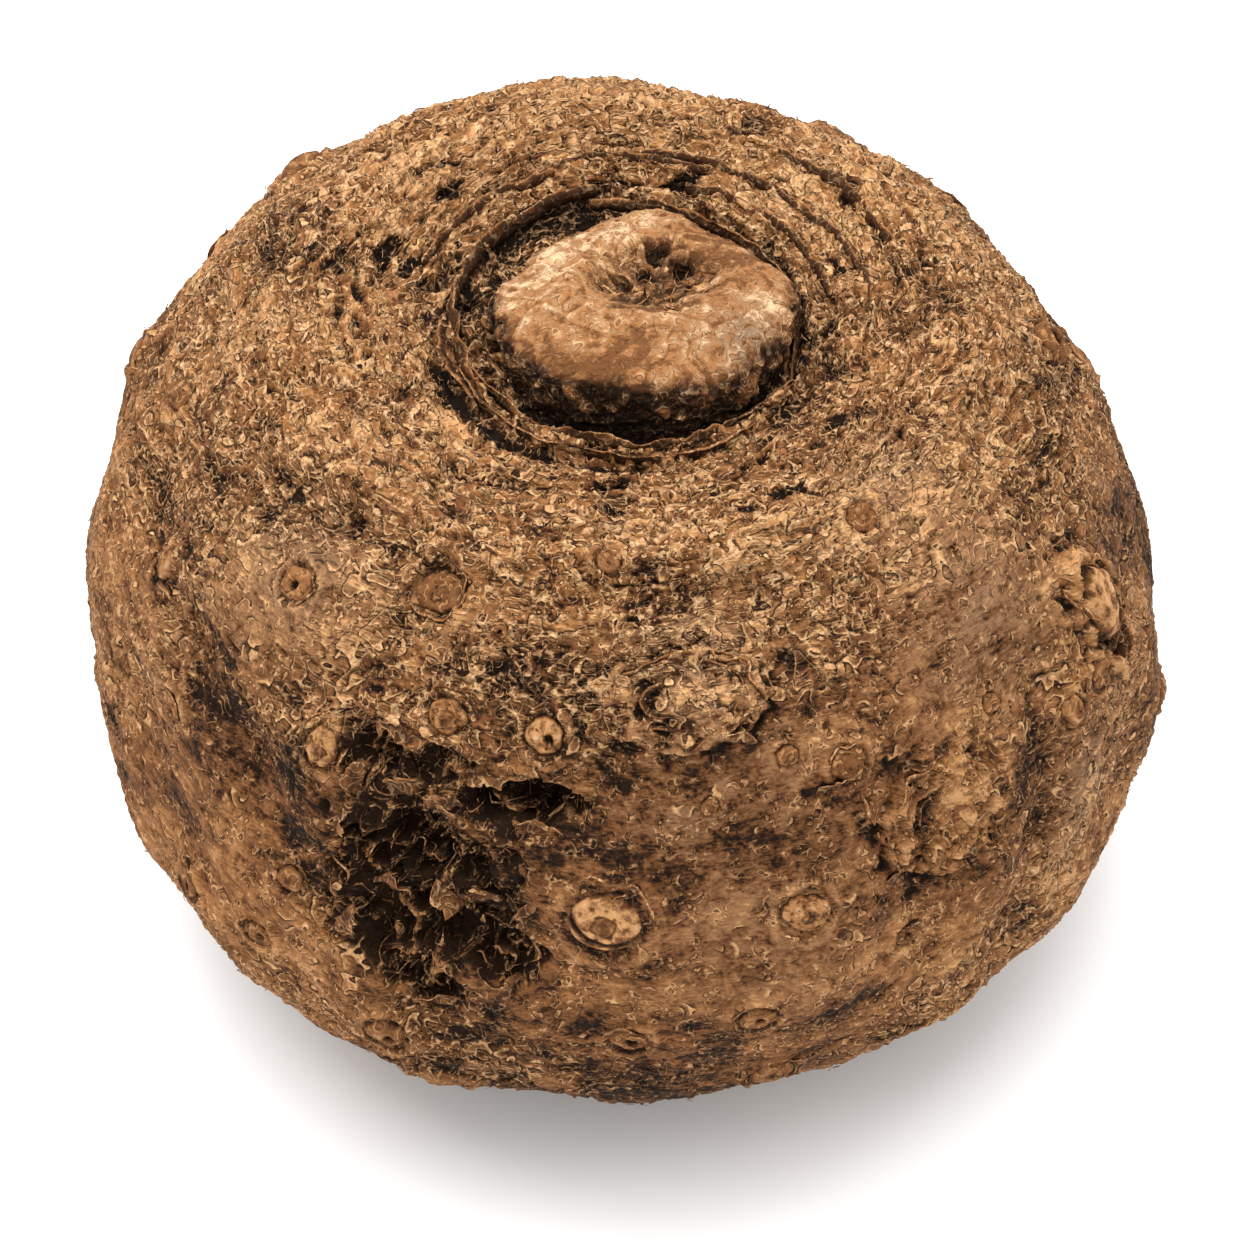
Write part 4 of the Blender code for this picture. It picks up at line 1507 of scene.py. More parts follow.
            # Painted light on the plinth and frills, painted shade in the troughs, the pit, the inner
            # gap and the moat
            crevice[mask] += (0.9 * crumb + 0.25) * plinth + 0.55 * frills - 0.9 * troughs
            crevice[mask] -= 0.9 * bud.pit * pit + 0.40 * bud.gap * inner + 0.7 * moat
            knob[mask] += 0.25 * frills
        return raised, crevice, knob

    def torn_hollow(self, plain: Array, way: Array) -> tuple[Array, Array, Array]:
        """Depth of the torn hollow: half eggs, the deepest of them at each point, under a net of
        veins that the rot has left standing.

        Args:
            plain: Points of the form.
            way: Unit vectors of the points.

        Returns:
            Depths, a mask of rotten skin, and the net, 1 on its veins.
        """
        edges = 0.30 * self.coarse.at(plain / 6.0 + 15) + 0.22 * self.fine.at(plain / 2.2 + 3)
        rot = ramp(patch_sum(way, ROT_PATCHES) + edges, 0.42, 0.62)
        curled = swirled(plain, self.fine, 6.0, 3.2)
        veins = np.abs(self.coarse.at(curled / 8.5 + 33))
        veins = np.minimum(veins, 0.03 + np.abs(self.fine.at(curled / 4.8 + 5)))
        net = ramp(-veins, -0.15, -0.02)
        bowls = np.zeros(plain.shape[:-1])
        jagged = swirled(plain, self.coarse, 3.4, 1.7)
        for bite in BITES:
            spot, level, rise, _ = self.form.frame_at(bite)
            mask = np.linalg.norm(plain - spot, axis=-1) < 1.8 * max(bite.half_width, bite.half_height)
            offset = jagged[mask] - spot
            apart = np.hypot(offset @ level / bite.half_width, offset @ rise / bite.half_height)
            bowl = bite.depth * np.sqrt(np.clip(1 - apart**2, 0, 1))
            bowls[mask] = np.maximum(bowls[mask], bowl)
        start, end = (direction(*np.radians(place)) for place in self.BRIDGE)
        share = np.clip((way - start) @ (end - start) / ((end - start) @ (end - start)), 0, 1)
        apart = np.linalg.norm(way - start - share[..., None] * (end - start), axis=-1)
        bridge = 0.9 * np.exp(-((100 * apart / 4.2 + 0.5 * self.coarse.at(plain / 4.0)) ** 2))
        bowls, rot = bowls * (1 - bridge), rot * (1 - bridge)
        rough = self.fine.octaves(plain, 3.0, 3, 0.65)
        sunk = rot * (0.3 + 1.6 * (1 - net) - 0.8 * rough) + bowls * (1.25 - 0.75 * net)
        return sunk, np.maximum(rot, ramp(bowls, 0.2, 1.2)), net

    def build(self, dress: bpy.types.Material) -> None:
        """Cuts the grid into its zones and makes a piece of each.

        Args:
            dress: Material of the bark.
        """
        last_crown = self.crown_rows - 1
        last_side = last_crown + self.side_rows
        turn = np.linspace(-math.pi, math.pi, self.columns, endpoint=False)
        azimuth = np.degrees(turn - self.crowding * np.sin(turn))
        front = np.nonzero(np.abs(azimuth) <= self.front_half)[0]
        back = np.concatenate([np.arange(front[-1], self.columns), np.arange(0, front[0] + 1)])
        every = np.arange(self.columns)
        self.zone("bark_crown", slice(0, last_crown + 1), every, dress, closed=0)
        self.zone("bark_front", slice(last_crown, last_side + 1), front, dress)
        self.zone("bark_back", slice(last_crown, last_side + 1), back, dress)
        self.zone("bark_base", slice(last_side, None), every, dress, closed=-1)

    def zone(
        self,
        name: str,
        rows: slice,
        columns: Array,
        dress: bpy.types.Material,
        closed: int | None = None,
    ) -> None:
        """Makes one zone of the bark.

        Args:
            name: Name of the piece.
            rows: Its rows in the whole grid.
            columns: Its columns.
            dress: Material of the bark.
            closed: Row whose ring is drawn together to a point, if any.
        """
        points = self.points[rows][:, columns].copy()
        if closed is not None:
            points[closed] = points[closed].mean(axis=0)
        wraps = len(columns) == self.columns
        faces = grid_faces(points.shape[0], points.shape[1], wraps)
        kept = {word: values[rows][:, columns] for word, values in self.qualities.items()}
        flat = {word: values.reshape(-1, *values.shape[2:]) for word, values in kept.items()}
        make_piece(name, points.reshape(-1, 3), faces, dress, **flat)


@dataclass
class Button:
    """The stalk scar: a thick disc with an apex at the back, a rounded rim, a dark knobbly side and a
    shallow pit with four holes."""

    half_width: float = 27.0
    half_depth: float = 23.8
    top: float = 143.9
    moat_level: float = 131.5
    place: tuple[float, float] = (3.6, -1.6)
    pit_place: tuple[float, float] = (1.6, 3.4)
    pit_radius: float = 13.5
    pit_depth: float = 3.4
    holes: tuple = ((2.2, 11.4, 2.4), (0.4, 6.6, 1.7), (7.0, 8.0, 1.9), (-3.4, 3.4, 1.2))
    grey_place: tuple[float, float] = (19.0, -13.5)
    columns: int = 300
    rows: int = 110
    points: Array = field(init=False)
    pit: Array = field(init=False)
    coarse: Noise = field(default_factory=lambda: Noise(21))
    fine: Noise = field(default_factory=lambda: Noise(22))

    def outline(self) -> tuple[Array, Array]:
        """Profile from the middle over the rim to the foot, smoothed between a few points.

        Returns:
            Shares of the radius and of the height.
        """
        radius = np.array([0.93, 0.95, 0.99, 1.0, 0.965, 0.90, 0.76, 0.5, 0.25, 0.0])[::-1]
        height = np.array([-0.6, 0.05, 0.35, 0.60, 0.80, 0.91, 0.98, 1.02, 1.03, 1.03])[::-1]
        length = np.hypot(np.diff(radius) * self.half_width, np.diff(height) * 12.5)
        along = np.concatenate([[0], np.cumsum(length)])
        even = np.linspace(0, along[-1], self.rows)
        window = np.hanning(9) / np.hanning(9).sum()
        smoothed = []
        for values in (radius, height):
            padded = np.pad(np.interp(even, along, values), 4, mode="edge")
            smoothed.append(np.convolve(padded, window, mode="valid"))
        smoothed[0][0] = 0.0
        return smoothed[0], smoothed[1]

    def plain(self) -> tuple[Array, Array, Array, Array]:
        """The button without its roughness: the profile, narrower behind but for a blunt apex, with
        the front and the left sloping down.

        Returns:
            Points, the share of the height, and distances from the button's middle.
        """
        share, lift = (values[:, None] for values in self.outline())
        turn = np.linspace(0, 2 * math.pi, self.columns, endpoint=False)[None, :]
        apex = np.exp(-(((turn - 1.5) / 0.30) ** 2))
        corners = 1 - 0.11 * ramp(np.sin(turn), 0.0, 0.55) * (1 - apex)
        corners = corners + 0.022 * np.sin(5 * turn + 0.4) + 0.012 * np.sin(11 * turn)
        x = share * self.half_width * corners * np.cos(turn)
        y = share * self.half_depth * corners * np.sin(turn)
        raised = np.clip(lift, 0, 1)
        height = self.moat_level + lift * (self.top - self.moat_level)
        height = height - raised * (1.3 * ramp(-y, 6, 24) + 2.2 * ramp(-x, 10, 28))
        height = np.where(lift < 0, self.moat_level + lift * 10, height)
        points = np.stack([x + self.place[0], y + self.place[1], height], axis=-1)
        return points, lift * np.ones_like(turn), x, y

    def hollows(self, plain: Array, x: Array, y: Array) -> tuple[Array, Array]:
        """The pit and the holes in it: distances from their middles as shares of their radii, with
        a noise added to the pit's and multiplied into the holes'.

        Args:
            plain: Points of the plain form.
            x: Distance to the right of the button's middle.
            y: Distance behind it.

        Returns:
            Share of the pit's radius, and how deep each point lies in a hole, 0 to 1.
        """
        near = np.hypot(x - self.pit_place[0], (y - self.pit_place[1]) / 0.85) / self.pit_radius
        near = near + 0.22 * self.coarse.at(plain / 6.0 + 11)
        holes = np.zeros(x.shape)
        for left, back, size in self.holes:
            ragged = 1 + 0.35 * self.fine.at(plain / 2.0 + back)
            apart = np.hypot(x - left, y - back) / size * ragged
            holes = np.maximum(holes, ramp(-apart, -1.15, -0.75))
        return near, holes

    def build(self, dress: bpy.types.Material) -> None:
        """Makes the button: the plain form with its pit, roughened along its normals.

        Args:
            dress: Its material.
        """
        plain, lift, x, y = self.plain()
        side = ramp(-lift + 0.06 * self.coarse.at(plain / 4.0), -0.92, -0.70)
        near, holes = self.hollows(plain, x, y)
        self.pit = ramp(-near, -1.05, -0.45) * ramp(lift, 0.85, 0.95)
        curled = swirled(plain, self.coarse, 6.0, 2.2)
        rough = self.fine.octaves(plain, 1.7, 2, 0.6)
        nodules = np.maximum(self.coarse.at(curled / 2.9), -0.15)
        pores = ramp(self.fine.at(plain / 1.8 + 9), 0.52, 0.68) * ramp(plain[..., 1], -18, 10)
        cracks = ramp(-np.abs(self.coarse.at(curled / 10.0 + 5)), -0.022, -0.004)
        cracks = cracks * ramp(self.coarse.at(plain / 9.0 + 2), 0.10, 0.25) * (1 - side)
        scales = flake_steps(self.coarse.at(curled / 9.0 + 60), 2.0)
        veins = np.abs(self.coarse.at(swirled(plain, self.fine, 4.0, 1.8) / 4.2 + 33))
        net = ramp(-veins, -0.16, -0.03)
        detail = 0.14 * rough + 0.9 * self.coarse.octaves(plain + 40, 13.0, 2) - 0.3 * pores
        detail += (0.16 + 0.3 * self.pit) * scales - 0.5 * cracks - self.pit_depth * self.pit
        detail += side * (1.4 * nodules + 0.4 * rough + 0.3 * scales) + self.pit * 0.5 * rough
        detail -= 3.2 * holes * (1 - 0.6 * net)
        blotches = self.coarse.octaves(plain + 70, 11.0, 4, 0.8)
        # Blotches are the button's own colour; rough, scales, pores and cracks tie the colour to the
        # relief, partly painted light and shade
        crust_and_shading = 0.46 + 0.4 * rough + 0.45 * scales - 0.9 * pores - 1.4 * cracks + 0.8 * blotches
        # Painted highlight on the back left of the top
        crust_and_shading += 0.42 * ramp((y - x) / 1.41, 2, 20) * ramp(lift, 0.8, 0.95)
        # Painted highlight on the right of the rim
        crust_and_shading += 0.15 * ramp(x, 12, 22) * ramp(lift, 0.8, 0.95)
        # Painted shade on the front of the top
        crust_and_shading -= 0.20 * ramp(-y, 5, 14) * ramp(-x, -6, 6)
        crust_and_shading -= 0.22 * np.exp(-(((near - 1.05) / 0.35) ** 2)) * (1 - side)
        # Painted highlights on the side's nodules, and painted shade at its foot below the moat's
        # level
        crust_and_shading += side * (1.1 * nodules - 0.22) + ramp(-lift, -0.4, -0.1) * -0.6
        # Painted shade in the pit's holes, lighter on the veins of its net
        crust_and_shading += self.pit * (0.35 * net - 0.16) - 1.1 * holes * (1 - 0.8 * net)
        grey = np.hypot(x - self.grey_place[0], y - self.grey_place[1]) / 7.0
        self.points = plain + grid_normals(plain) * detail[..., None]
        self.points[..., 2] = np.minimum(self.points[..., 2], PART_BOUNDS[1][2] / MM - 0.1)
        self.points[0] = self.points[0].mean(axis=0)
        flat = {
            "crust_and_shading": np.clip(crust_and_shading, 0, 1.2).ravel(),
            "side": np.clip(side, 0, 1).ravel(),
            "pit": np.clip(0.75 * self.pit + holes, 0, 1).ravel(),
            "grey": np.exp(-(grey**2)).ravel(),
        }
        faces = grid_faces(self.rows, self.columns, True)
        make_piece("button", self.points.reshape(-1, 3), faces[:, ::-1], dress, **flat)


def shell(top: Array, thickness: Array) -> tuple[Array, Array]:
    """A thin closed sheet: the given side, a second side behind it, and both ends drawn to a point.

    Args:
        top: Points of one side, rows along the sheet by columns across it.
        thickness: Thickness at each column.

    Returns:
        Points and faces.
    """
    back = (top - grid_normals(top, False) * thickness[:, None])[:, ::-1]
    loop = np.concatenate([top, back], axis=1)
    loop[0], loop[-1] = loop[0].mean(axis=0), loop[-1].mean(axis=0)
    index = np.arange(loop.shape[0] * loop.shape[1]).reshape(loop.shape[:2])
    before, after = index[:-1], index[1:]
    turned = np.roll(after, -1, axis=1), np.roll(before, -1, axis=1)
    return loop.reshape(-1, 3), np.stack([before, after, *turned], axis=-1).reshape(-1, 4)


def make_shells(name: str, parts: list[tuple], dress: bpy.types.Material) -> None:
    """Joins sheets into one piece.

    Args:
        name: Name of the piece.
        parts: Points, faces and shades of each sheet.
        dress: Their material.
    """
    starts = np.cumsum([0] + [len(part[0]) for part in parts])
    faces = np.concatenate([part[1] + start for part, start in zip(parts, starts)])
    shade = np.concatenate([part[2] for part in parts])
    make_piece(name, np.concatenate([part[0] for part in parts]), faces, dress, shade=shade)


@dataclass
class Stumps:
    """The root stumps: round corks with fine rings, domed or flat, some with a core or a hole."""

    form: CormForm
    columns: int = 40
    rows: int = 20
    foot: float = 1.22
    wide: float = 6.0
    ragged: Noise = field(default_factory=lambda: Noise(31))

    def build(self, dress: bpy.types.Material) -> None:
        """Makes every stump as one piece.

        Args:
            dress: Their material.
        """
        parts = [self.stump(number, scar) for number, scar in enumerate(all_scars())]
        faces = grid_faces(self.rows, self.columns, True)[:, ::-1]
        starts = np.arange(len(parts)) * self.rows * self.columns
        points, shade, pale = (np.concatenate([part[k] for part in parts]) for k in range(3))
        every = (faces[None] + starts[:, None, None]).reshape(-1, 4)
        make_piece("stumps", points, every, dress, shade=shade, pale=pale)

    def core(
        self, scar: Scar, draw: random.Random, across: Array, up: Array, jag: Array
    ) -> tuple[Array, Array]:
        """The core of a stump, a superellipse a little off the middle, and the groove round it.

        Args:
            scar: The stump's place and size.
            draw: The random draw.
            across: Distance to the right of the middle.
            up: Distance above it.
            jag: Noise of the edge.

        Returns:
            How far inside the core and how deep in the groove each point is, 0 to 1.
        """
        big = scar.radius > self.wide
        shift = scar.radius * draw.uniform(0.0, 0.18)
        power = 5.0 if big else 2.2
        reach = scar.radius * (0.25 if big else draw.uniform(0.18, 0.36))
        core = (np.abs(across - shift) ** power + np.abs(up + shift) ** power) ** (1 / power) / reach
        core = core * (1 + 0.30 * jag * (not big))
        line = np.exp(-(((core - 1.15) / 0.18) ** 2)) * ramp(jag + 0.5 * big, -0.5, 0.1)
        return ramp(-core, -1.05, -0.70), line

    def stump(self, number: int, scar: Scar) -> tuple[Array, Array, Array]:
        """One stump. Its height is a dome with cosine rings and a core, and falls off past its
        edge.

        Args:
            number: Number that sets it apart.
            scar: Its place and size.

        Returns:
            Points, shades and how pale each point is.
        """
        draw = random.Random(number + 500)
        spot, level, rise, out = self.form.frame_at(scar, draw.uniform(-25, 25) * (scar.tall < 1.2))
        share = np.linspace(0, self.foot, self.rows)[:, None]
        turn = np.linspace(0, 2 * math.pi, self.columns, endpoint=False)[None, :]
        flat = np.stack([share * np.cos(turn), share * np.sin(turn), 0 * share * turn], axis=-1)
        flat = flat * scar.radius
        noise = self.ragged.at(flat / (0.8 * scar.radius) + 5.3 * number)
        jag = self.ragged.at(flat / 1.7 + 2.3 * number)
        big = scar.radius > self.wide
        calm = 0.35 if big else 1.0
        wobble = 1 + calm * (0.16 * noise + 0.10 * jag) * share
        across, up = flat[..., 0] * wobble, flat[..., 1] * wobble * scar.tall
        inside, line = self.core(scar, draw, across, up, jag)
        rings = np.cos(2 * math.pi * share * draw.uniform(1.6, 2.8) + 3.0 * noise)
        rings = rings * ramp(share, 0.25, 0.5) * (0.5 + 0.5 * jag)
        hole = inside * (scar.pit > 1.1)
        crescent = np.hypot(across, up - 0.42 * scar.radius) / scar.radius
        slit = np.exp(-(((crescent - 1.05) / 0.07) ** 2)) * ramp(-up, 0, 2) * big
        cracks = ramp(-np.abs(self.ragged.at(flat / 2.3 + 31 * number)), -0.05, -0.01)
        cracks = cracks * ramp(share, 0.2, 0.5)
        edge = ramp(share + 0.05 * jag, 0.84, 1.06)
        height = scar.height * (1 - 0.45 * share**2) + 0.10 * rings + 0.3 * noise + 0.15 * jag
        height = height - 0.30 * line - hole * (0.4 + 0.7 * scar.pit) - 0.5 * slit
        height = height - 0.25 * cracks + 0.12 * inside
        height = height * (1 - edge) + edge * (0.05 - 9.0 * np.maximum(share - 1.02, 0))
        rough = 0.18 if big else 0.36
        spokes = big * 0.25 * np.abs(np.cos(3.5 * turn + 2.5 * noise)) ** 14 * ramp(share, 0.3, 0.6)
        # Painted shade: darker in the groove round the core, the hole, the slit and the cracks, and
        # round the foot
        shade = 0.64 + 0.20 * rings + rough * jag - 0.45 * line - 0.9 * hole - 0.9 * slit - spokes
        shade = shade - 0.35 * inside - rough * cracks - 0.50 * ramp(share, 0.86, 1.04)
        parts = (across, level), (up, rise), (height - 0.45, out)
        points = spot + sum((part + 0 * turn)[..., None] * axis for part, axis in parts)
        pale = np.full(shade.size, scar.pale)
        return points.reshape(-1, 3), np.clip(shade, -0.1, 1.1).ravel(), pale


# Levels of a wall, as shares of its height above the bark and millimetres below it, and its
# thickness at each.
WALL_LEVELS = np.array([-1.8, 0.05, 0.35, 0.65, 0.88, 1.0])
WALL_THICKNESS = np.array([0.9, 0.8, 0.6, 0.45, 0.32, 0.16])


def wall(
    base: Array, upward: Array, outward: Array, tall: float, lean: float, ragged: Noise, shift: float
) -> tuple[Array, Array, Array]:
    """A thin wall of dead bark along a line: its height and its sway come from noises.

    Args:
        base: Points of the line on the bark.
        upward: The way it stands, at each point.
        outward: The way it leans and sways, at each point.
        tall: Its height.
        lean: How far it leans for its height.
        ragged: Noise of its edge.
        shift: Shift of the noise, which sets it apart.

    Returns:
        Points, faces and shades.
    """
    steps = len(base)
    ends = np.sin(np.linspace(0, math.pi, steps)) ** 0.35
    torn = 0.70 + 0.55 * ragged.at(base / 9.0 + shift)
    torn += 0.35 * ragged.at(base / 3.0 + shift) + 0.15 * ragged.at(base + shift)
    height = tall * np.clip(torn, 0.08, 1.3) * ends
    sway = 1.3 * ragged.at(base / 12.0 + 30 + shift) + 0.25 * ragged.at(base / 3.0 + 50 + shift)
    levels = WALL_LEVELS
    lift = np.where(levels > 0, levels[None] * height[:, None], levels[None])
    lean_here = lean + 0.6 * ragged.at(base / 5.0 + 60 + shift)
    reach = sway[:, None] + lean_here[:, None] * np.maximum(lift, 0) * (0.4 + 0.6 * levels)
    sheet = base[:, None] + lift[..., None] * upward[:, None]
    sheet = sheet + reach[..., None] * outward[:, None]
    sheet = swirled(swirled(sheet, ragged, 4.0, 0.5), ragged, 1.6, 0.16)
    points, faces = shell(sheet, WALL_THICKNESS)
    across = np.concatenate([levels, levels[::-1]])
    # Painted shade low on the wall near the bark, rising to a painted highlight along its torn top
    shade = np.tile(0.60 * np.clip(across, 0, 1) ** 3 - 0.15, steps)
    shade = shade + 0.9 * ragged.octaves(points, 6.0, 3, 0.8)
    return points, faces, np.clip(shade, 0, 1)


@dataclass
class Collar:
    """The papery collar in the moat and the torn membranes outside it."""

    form: CormForm
    step: float = 0.4
    shift: float = 13.0
    ragged: Noise = field(default_factory=lambda: Noise(60))

    def build(self, dress: bpy.types.Material) -> None:
        """Makes every membrane as one piece.

        Args:
            dress: Their material.
        """
        strips = [self.strip(strip, self.shift * number) for number, strip in enumerate(MEMBRANES)]
        make_shells("collar", strips, dress)

    def strip(self, strip: Membrane, shift: float) -> tuple[Array, Array, Array]:
        """One membrane, which stands on the bark along an arc round the axis.

        Args:
            strip: Its place and size.
            shift: Shift of the noise, which sets it apart.

        Returns:
            Points, faces and shades.
        """
        span = math.radians(strip.end - strip.start)
        steps = int(strip.radius * span / self.step)
        azimuth = math.radians(strip.start) + np.linspace(0, span, steps)
        base = self.form.surface(azimuth, np.full(steps, self.form.polar_at(strip.radius)))
        outward = np.stack([np.sin(azimuth), -np.cos(azimuth), 0 * azimuth], axis=-1)
        upward = np.zeros(base.shape) + np.array([0.0, 0.0, 1.0])
        return wall(base, upward, outward, strip.height, strip.lean, self.ragged, shift)


class Arc(NamedTuple):
    """Part of an ellipse laid on the corm, along which a frill stands. Angles in degrees."""

    place: Any
    size: tuple[float, float]
    turn: float
    start: float
    span: float
    height: float


@dataclass
class Frills:
    """Thin torn walls of dead bark that stand round the buds and the stumps."""

    form: CormForm
    step: float = 0.62
    shift: float = 31.0
    bud_arcs: tuple = ((1.0, 1.9), (0.97, 1.5), (0.76, 1.4), (0.5, 1.0))
    bud_spans: tuple[float, float] = (110, 230)
    stump_spans: tuple[float, float] = (60, 200)
    stump_heights: tuple[float, float] = (0.35, 0.9)
    ragged: Noise = field(default_factory=lambda: Noise(77))

    def build(self, dress: bpy.types.Material) -> None:
        """Makes every wall as one piece: four arcs for a bud, one or two for a stump.

        Args:
            dress: Their material.
        """
        draw = random.Random(21)
        arcs = []
        for bud in BUDS:
            for share, height in self.bud_arcs:
                size = (bud.half_width * share, bud.half_height * share)
                span = draw.uniform(*self.bud_spans) * (0.7 + 0.3 * share)
                arcs.append(Arc(bud, size, bud.turn, draw.uniform(0, 360), span, height))
        for scar in all_scars():
            for _ in range(2 if scar.radius > 3 else 1):
                reach = scar.radius * draw.uniform(1.12, 1.45)
                size = (reach, reach * max(scar.tall, 0.9))
                span, height = draw.uniform(*self.stump_spans), draw.uniform(*self.stump_heights)
                arcs.append(Arc(scar, size, 0.0, draw.uniform(0, 360), span, height))
        leans = [draw.uniform(-0.3, 0.9) for _ in arcs]
        pairs = enumerate(zip(arcs, leans))
        parts = [self.frill(arc, lean, self.shift * number) for number, (arc, lean) in pairs]
        make_shells("frills", parts, dress)

    def frill(self, arc: Arc, lean: float, shift: float) -> tuple[Array, Array, Array]:
        """One wall along an arc. Distances on the surface become angles by the length that a small
        turn covers there.

        Args:
            arc: Where it stands.
            lean: How far it leans outwards.
            shift: Shift of the noise, which sets it apart.

        Returns:
            Points, faces and shades.
        """
        steps = max(int(math.radians(arc.span) * max(arc.size) / self.step), 10)
        angle = np.radians(arc.start + np.linspace(0, arc.span, steps))
        side, up = arc.size[0] * np.cos(angle), arc.size[1] * np.sin(angle)
        wave = 1 + 0.16 * self.ragged.at(np.stack([side, up, 0 * up + shift], axis=-1) / 4.0)
        turn, place = math.radians(arc.turn), arc.place
        cosine, sine = math.cos(turn), math.sin(turn)
        across, rise = (side * cosine - up * sine) * wave, (side * sine + up * cosine) * wave
        step = 0.01
        azimuth, polar = math.radians(place.azimuth), math.radians(place.polar)
        spots = self.form.surface(
            azimuth + step * np.array([0, 1, 0]), polar + step * np.array([0, 0, 1])
        )
        lengths = np.linalg.norm(spots[1:] - spots[0], axis=-1) / step
        base = self.form.surface(azimuth + across / lengths[0], polar - rise / lengths[1])
        out = self.form.frame_at(place)[3]
        outward = unit(base - base.mean(axis=0))
        upward = np.zeros(base.shape) + out
        return wall(base, upward, outward, arc.height, lean, self.ragged, shift)


@dataclass
class Flaps:
    """Torn sheets of dead bark that stand off the edges of the hollow and of the buds."""

    form: CormForm
    step: float = 0.4
    rows: int = 9
    shift: float = 17.0
    ragged: Noise = field(default_factory=lambda: Noise(90))

    def build(self, dress: bpy.types.Material) -> None:
        """Makes every flap as one piece.

        Args:
            dress: Their material.
        """
        make_shells("flaps", [self.flap(*pair) for pair in enumerate(FLAPS)], dress)

    def flap(self, number: int, place: Flap) -> tuple[Array, Array, Array]:
        """One flap: a sheet that leaves the bark, bends outwards and ends in a torn edge.

        Args:
            number: Number that sets it apart.
            place: Its place and size.

        Returns:
            Points, faces and shades.
        """
        spot, level, rise, out = self.form.frame_at(place, place.turn)
        steps = max(int(place.width / self.step), 8)
        across = np.linspace(-0.5, 0.5, steps)[:, None]
        down = np.linspace(-0.25, 1.0, self.rows)[None]
        shift = self.shift * number
        seed = np.stack([across[:, 0] * place.width, 0 * across[:, 0], 0 * across[:, 0] + shift], -1)
        torn = 0.8 + 0.45 * self.ragged.at(seed / 3.0) + 0.3 * self.ragged.at(seed / 1.2 + 5)
        length = place.length * torn[:, None] * (1 - (2 * across) ** 6)
        side = across * place.width * (1 - 0.25 * np.clip(down, 0, 1))
        forward = np.where(down > 0, down * length, down * 4.0)
        lift = place.lift * np.where(down > 0, length * np.maximum(down, 0) ** 1.6, 4.0 * down) - 0.3
        wave = 0.5 * np.sin(across * place.width / 1.7 + shift) * np.clip(down, 0, 1)
        parts = (side, level), (forward, rise), (lift + wave, out)
        sheet = spot + sum((part + 0 * across * down)[..., None] * axis for part, axis in parts)
        sheet = swirled(sheet, self.ragged, 2.6, 0.8)
        points, faces = shell(sheet, np.linspace(0.5, 0.14, self.rows))
        along = np.concatenate([down[0], down[0][::-1]])
        # Darker where the flap leaves the bark, a painted shade, and lighter towards its free edge, a
        # painted highlight
        shade = 0.12 + 0.42 * np.clip(along, 0, 1) ** 4
        shade = np.tile(shade, steps) + 0.35 * self.ragged.at(points / 1.8)
        return points, faces, np.clip(shade, 0.02, 1)


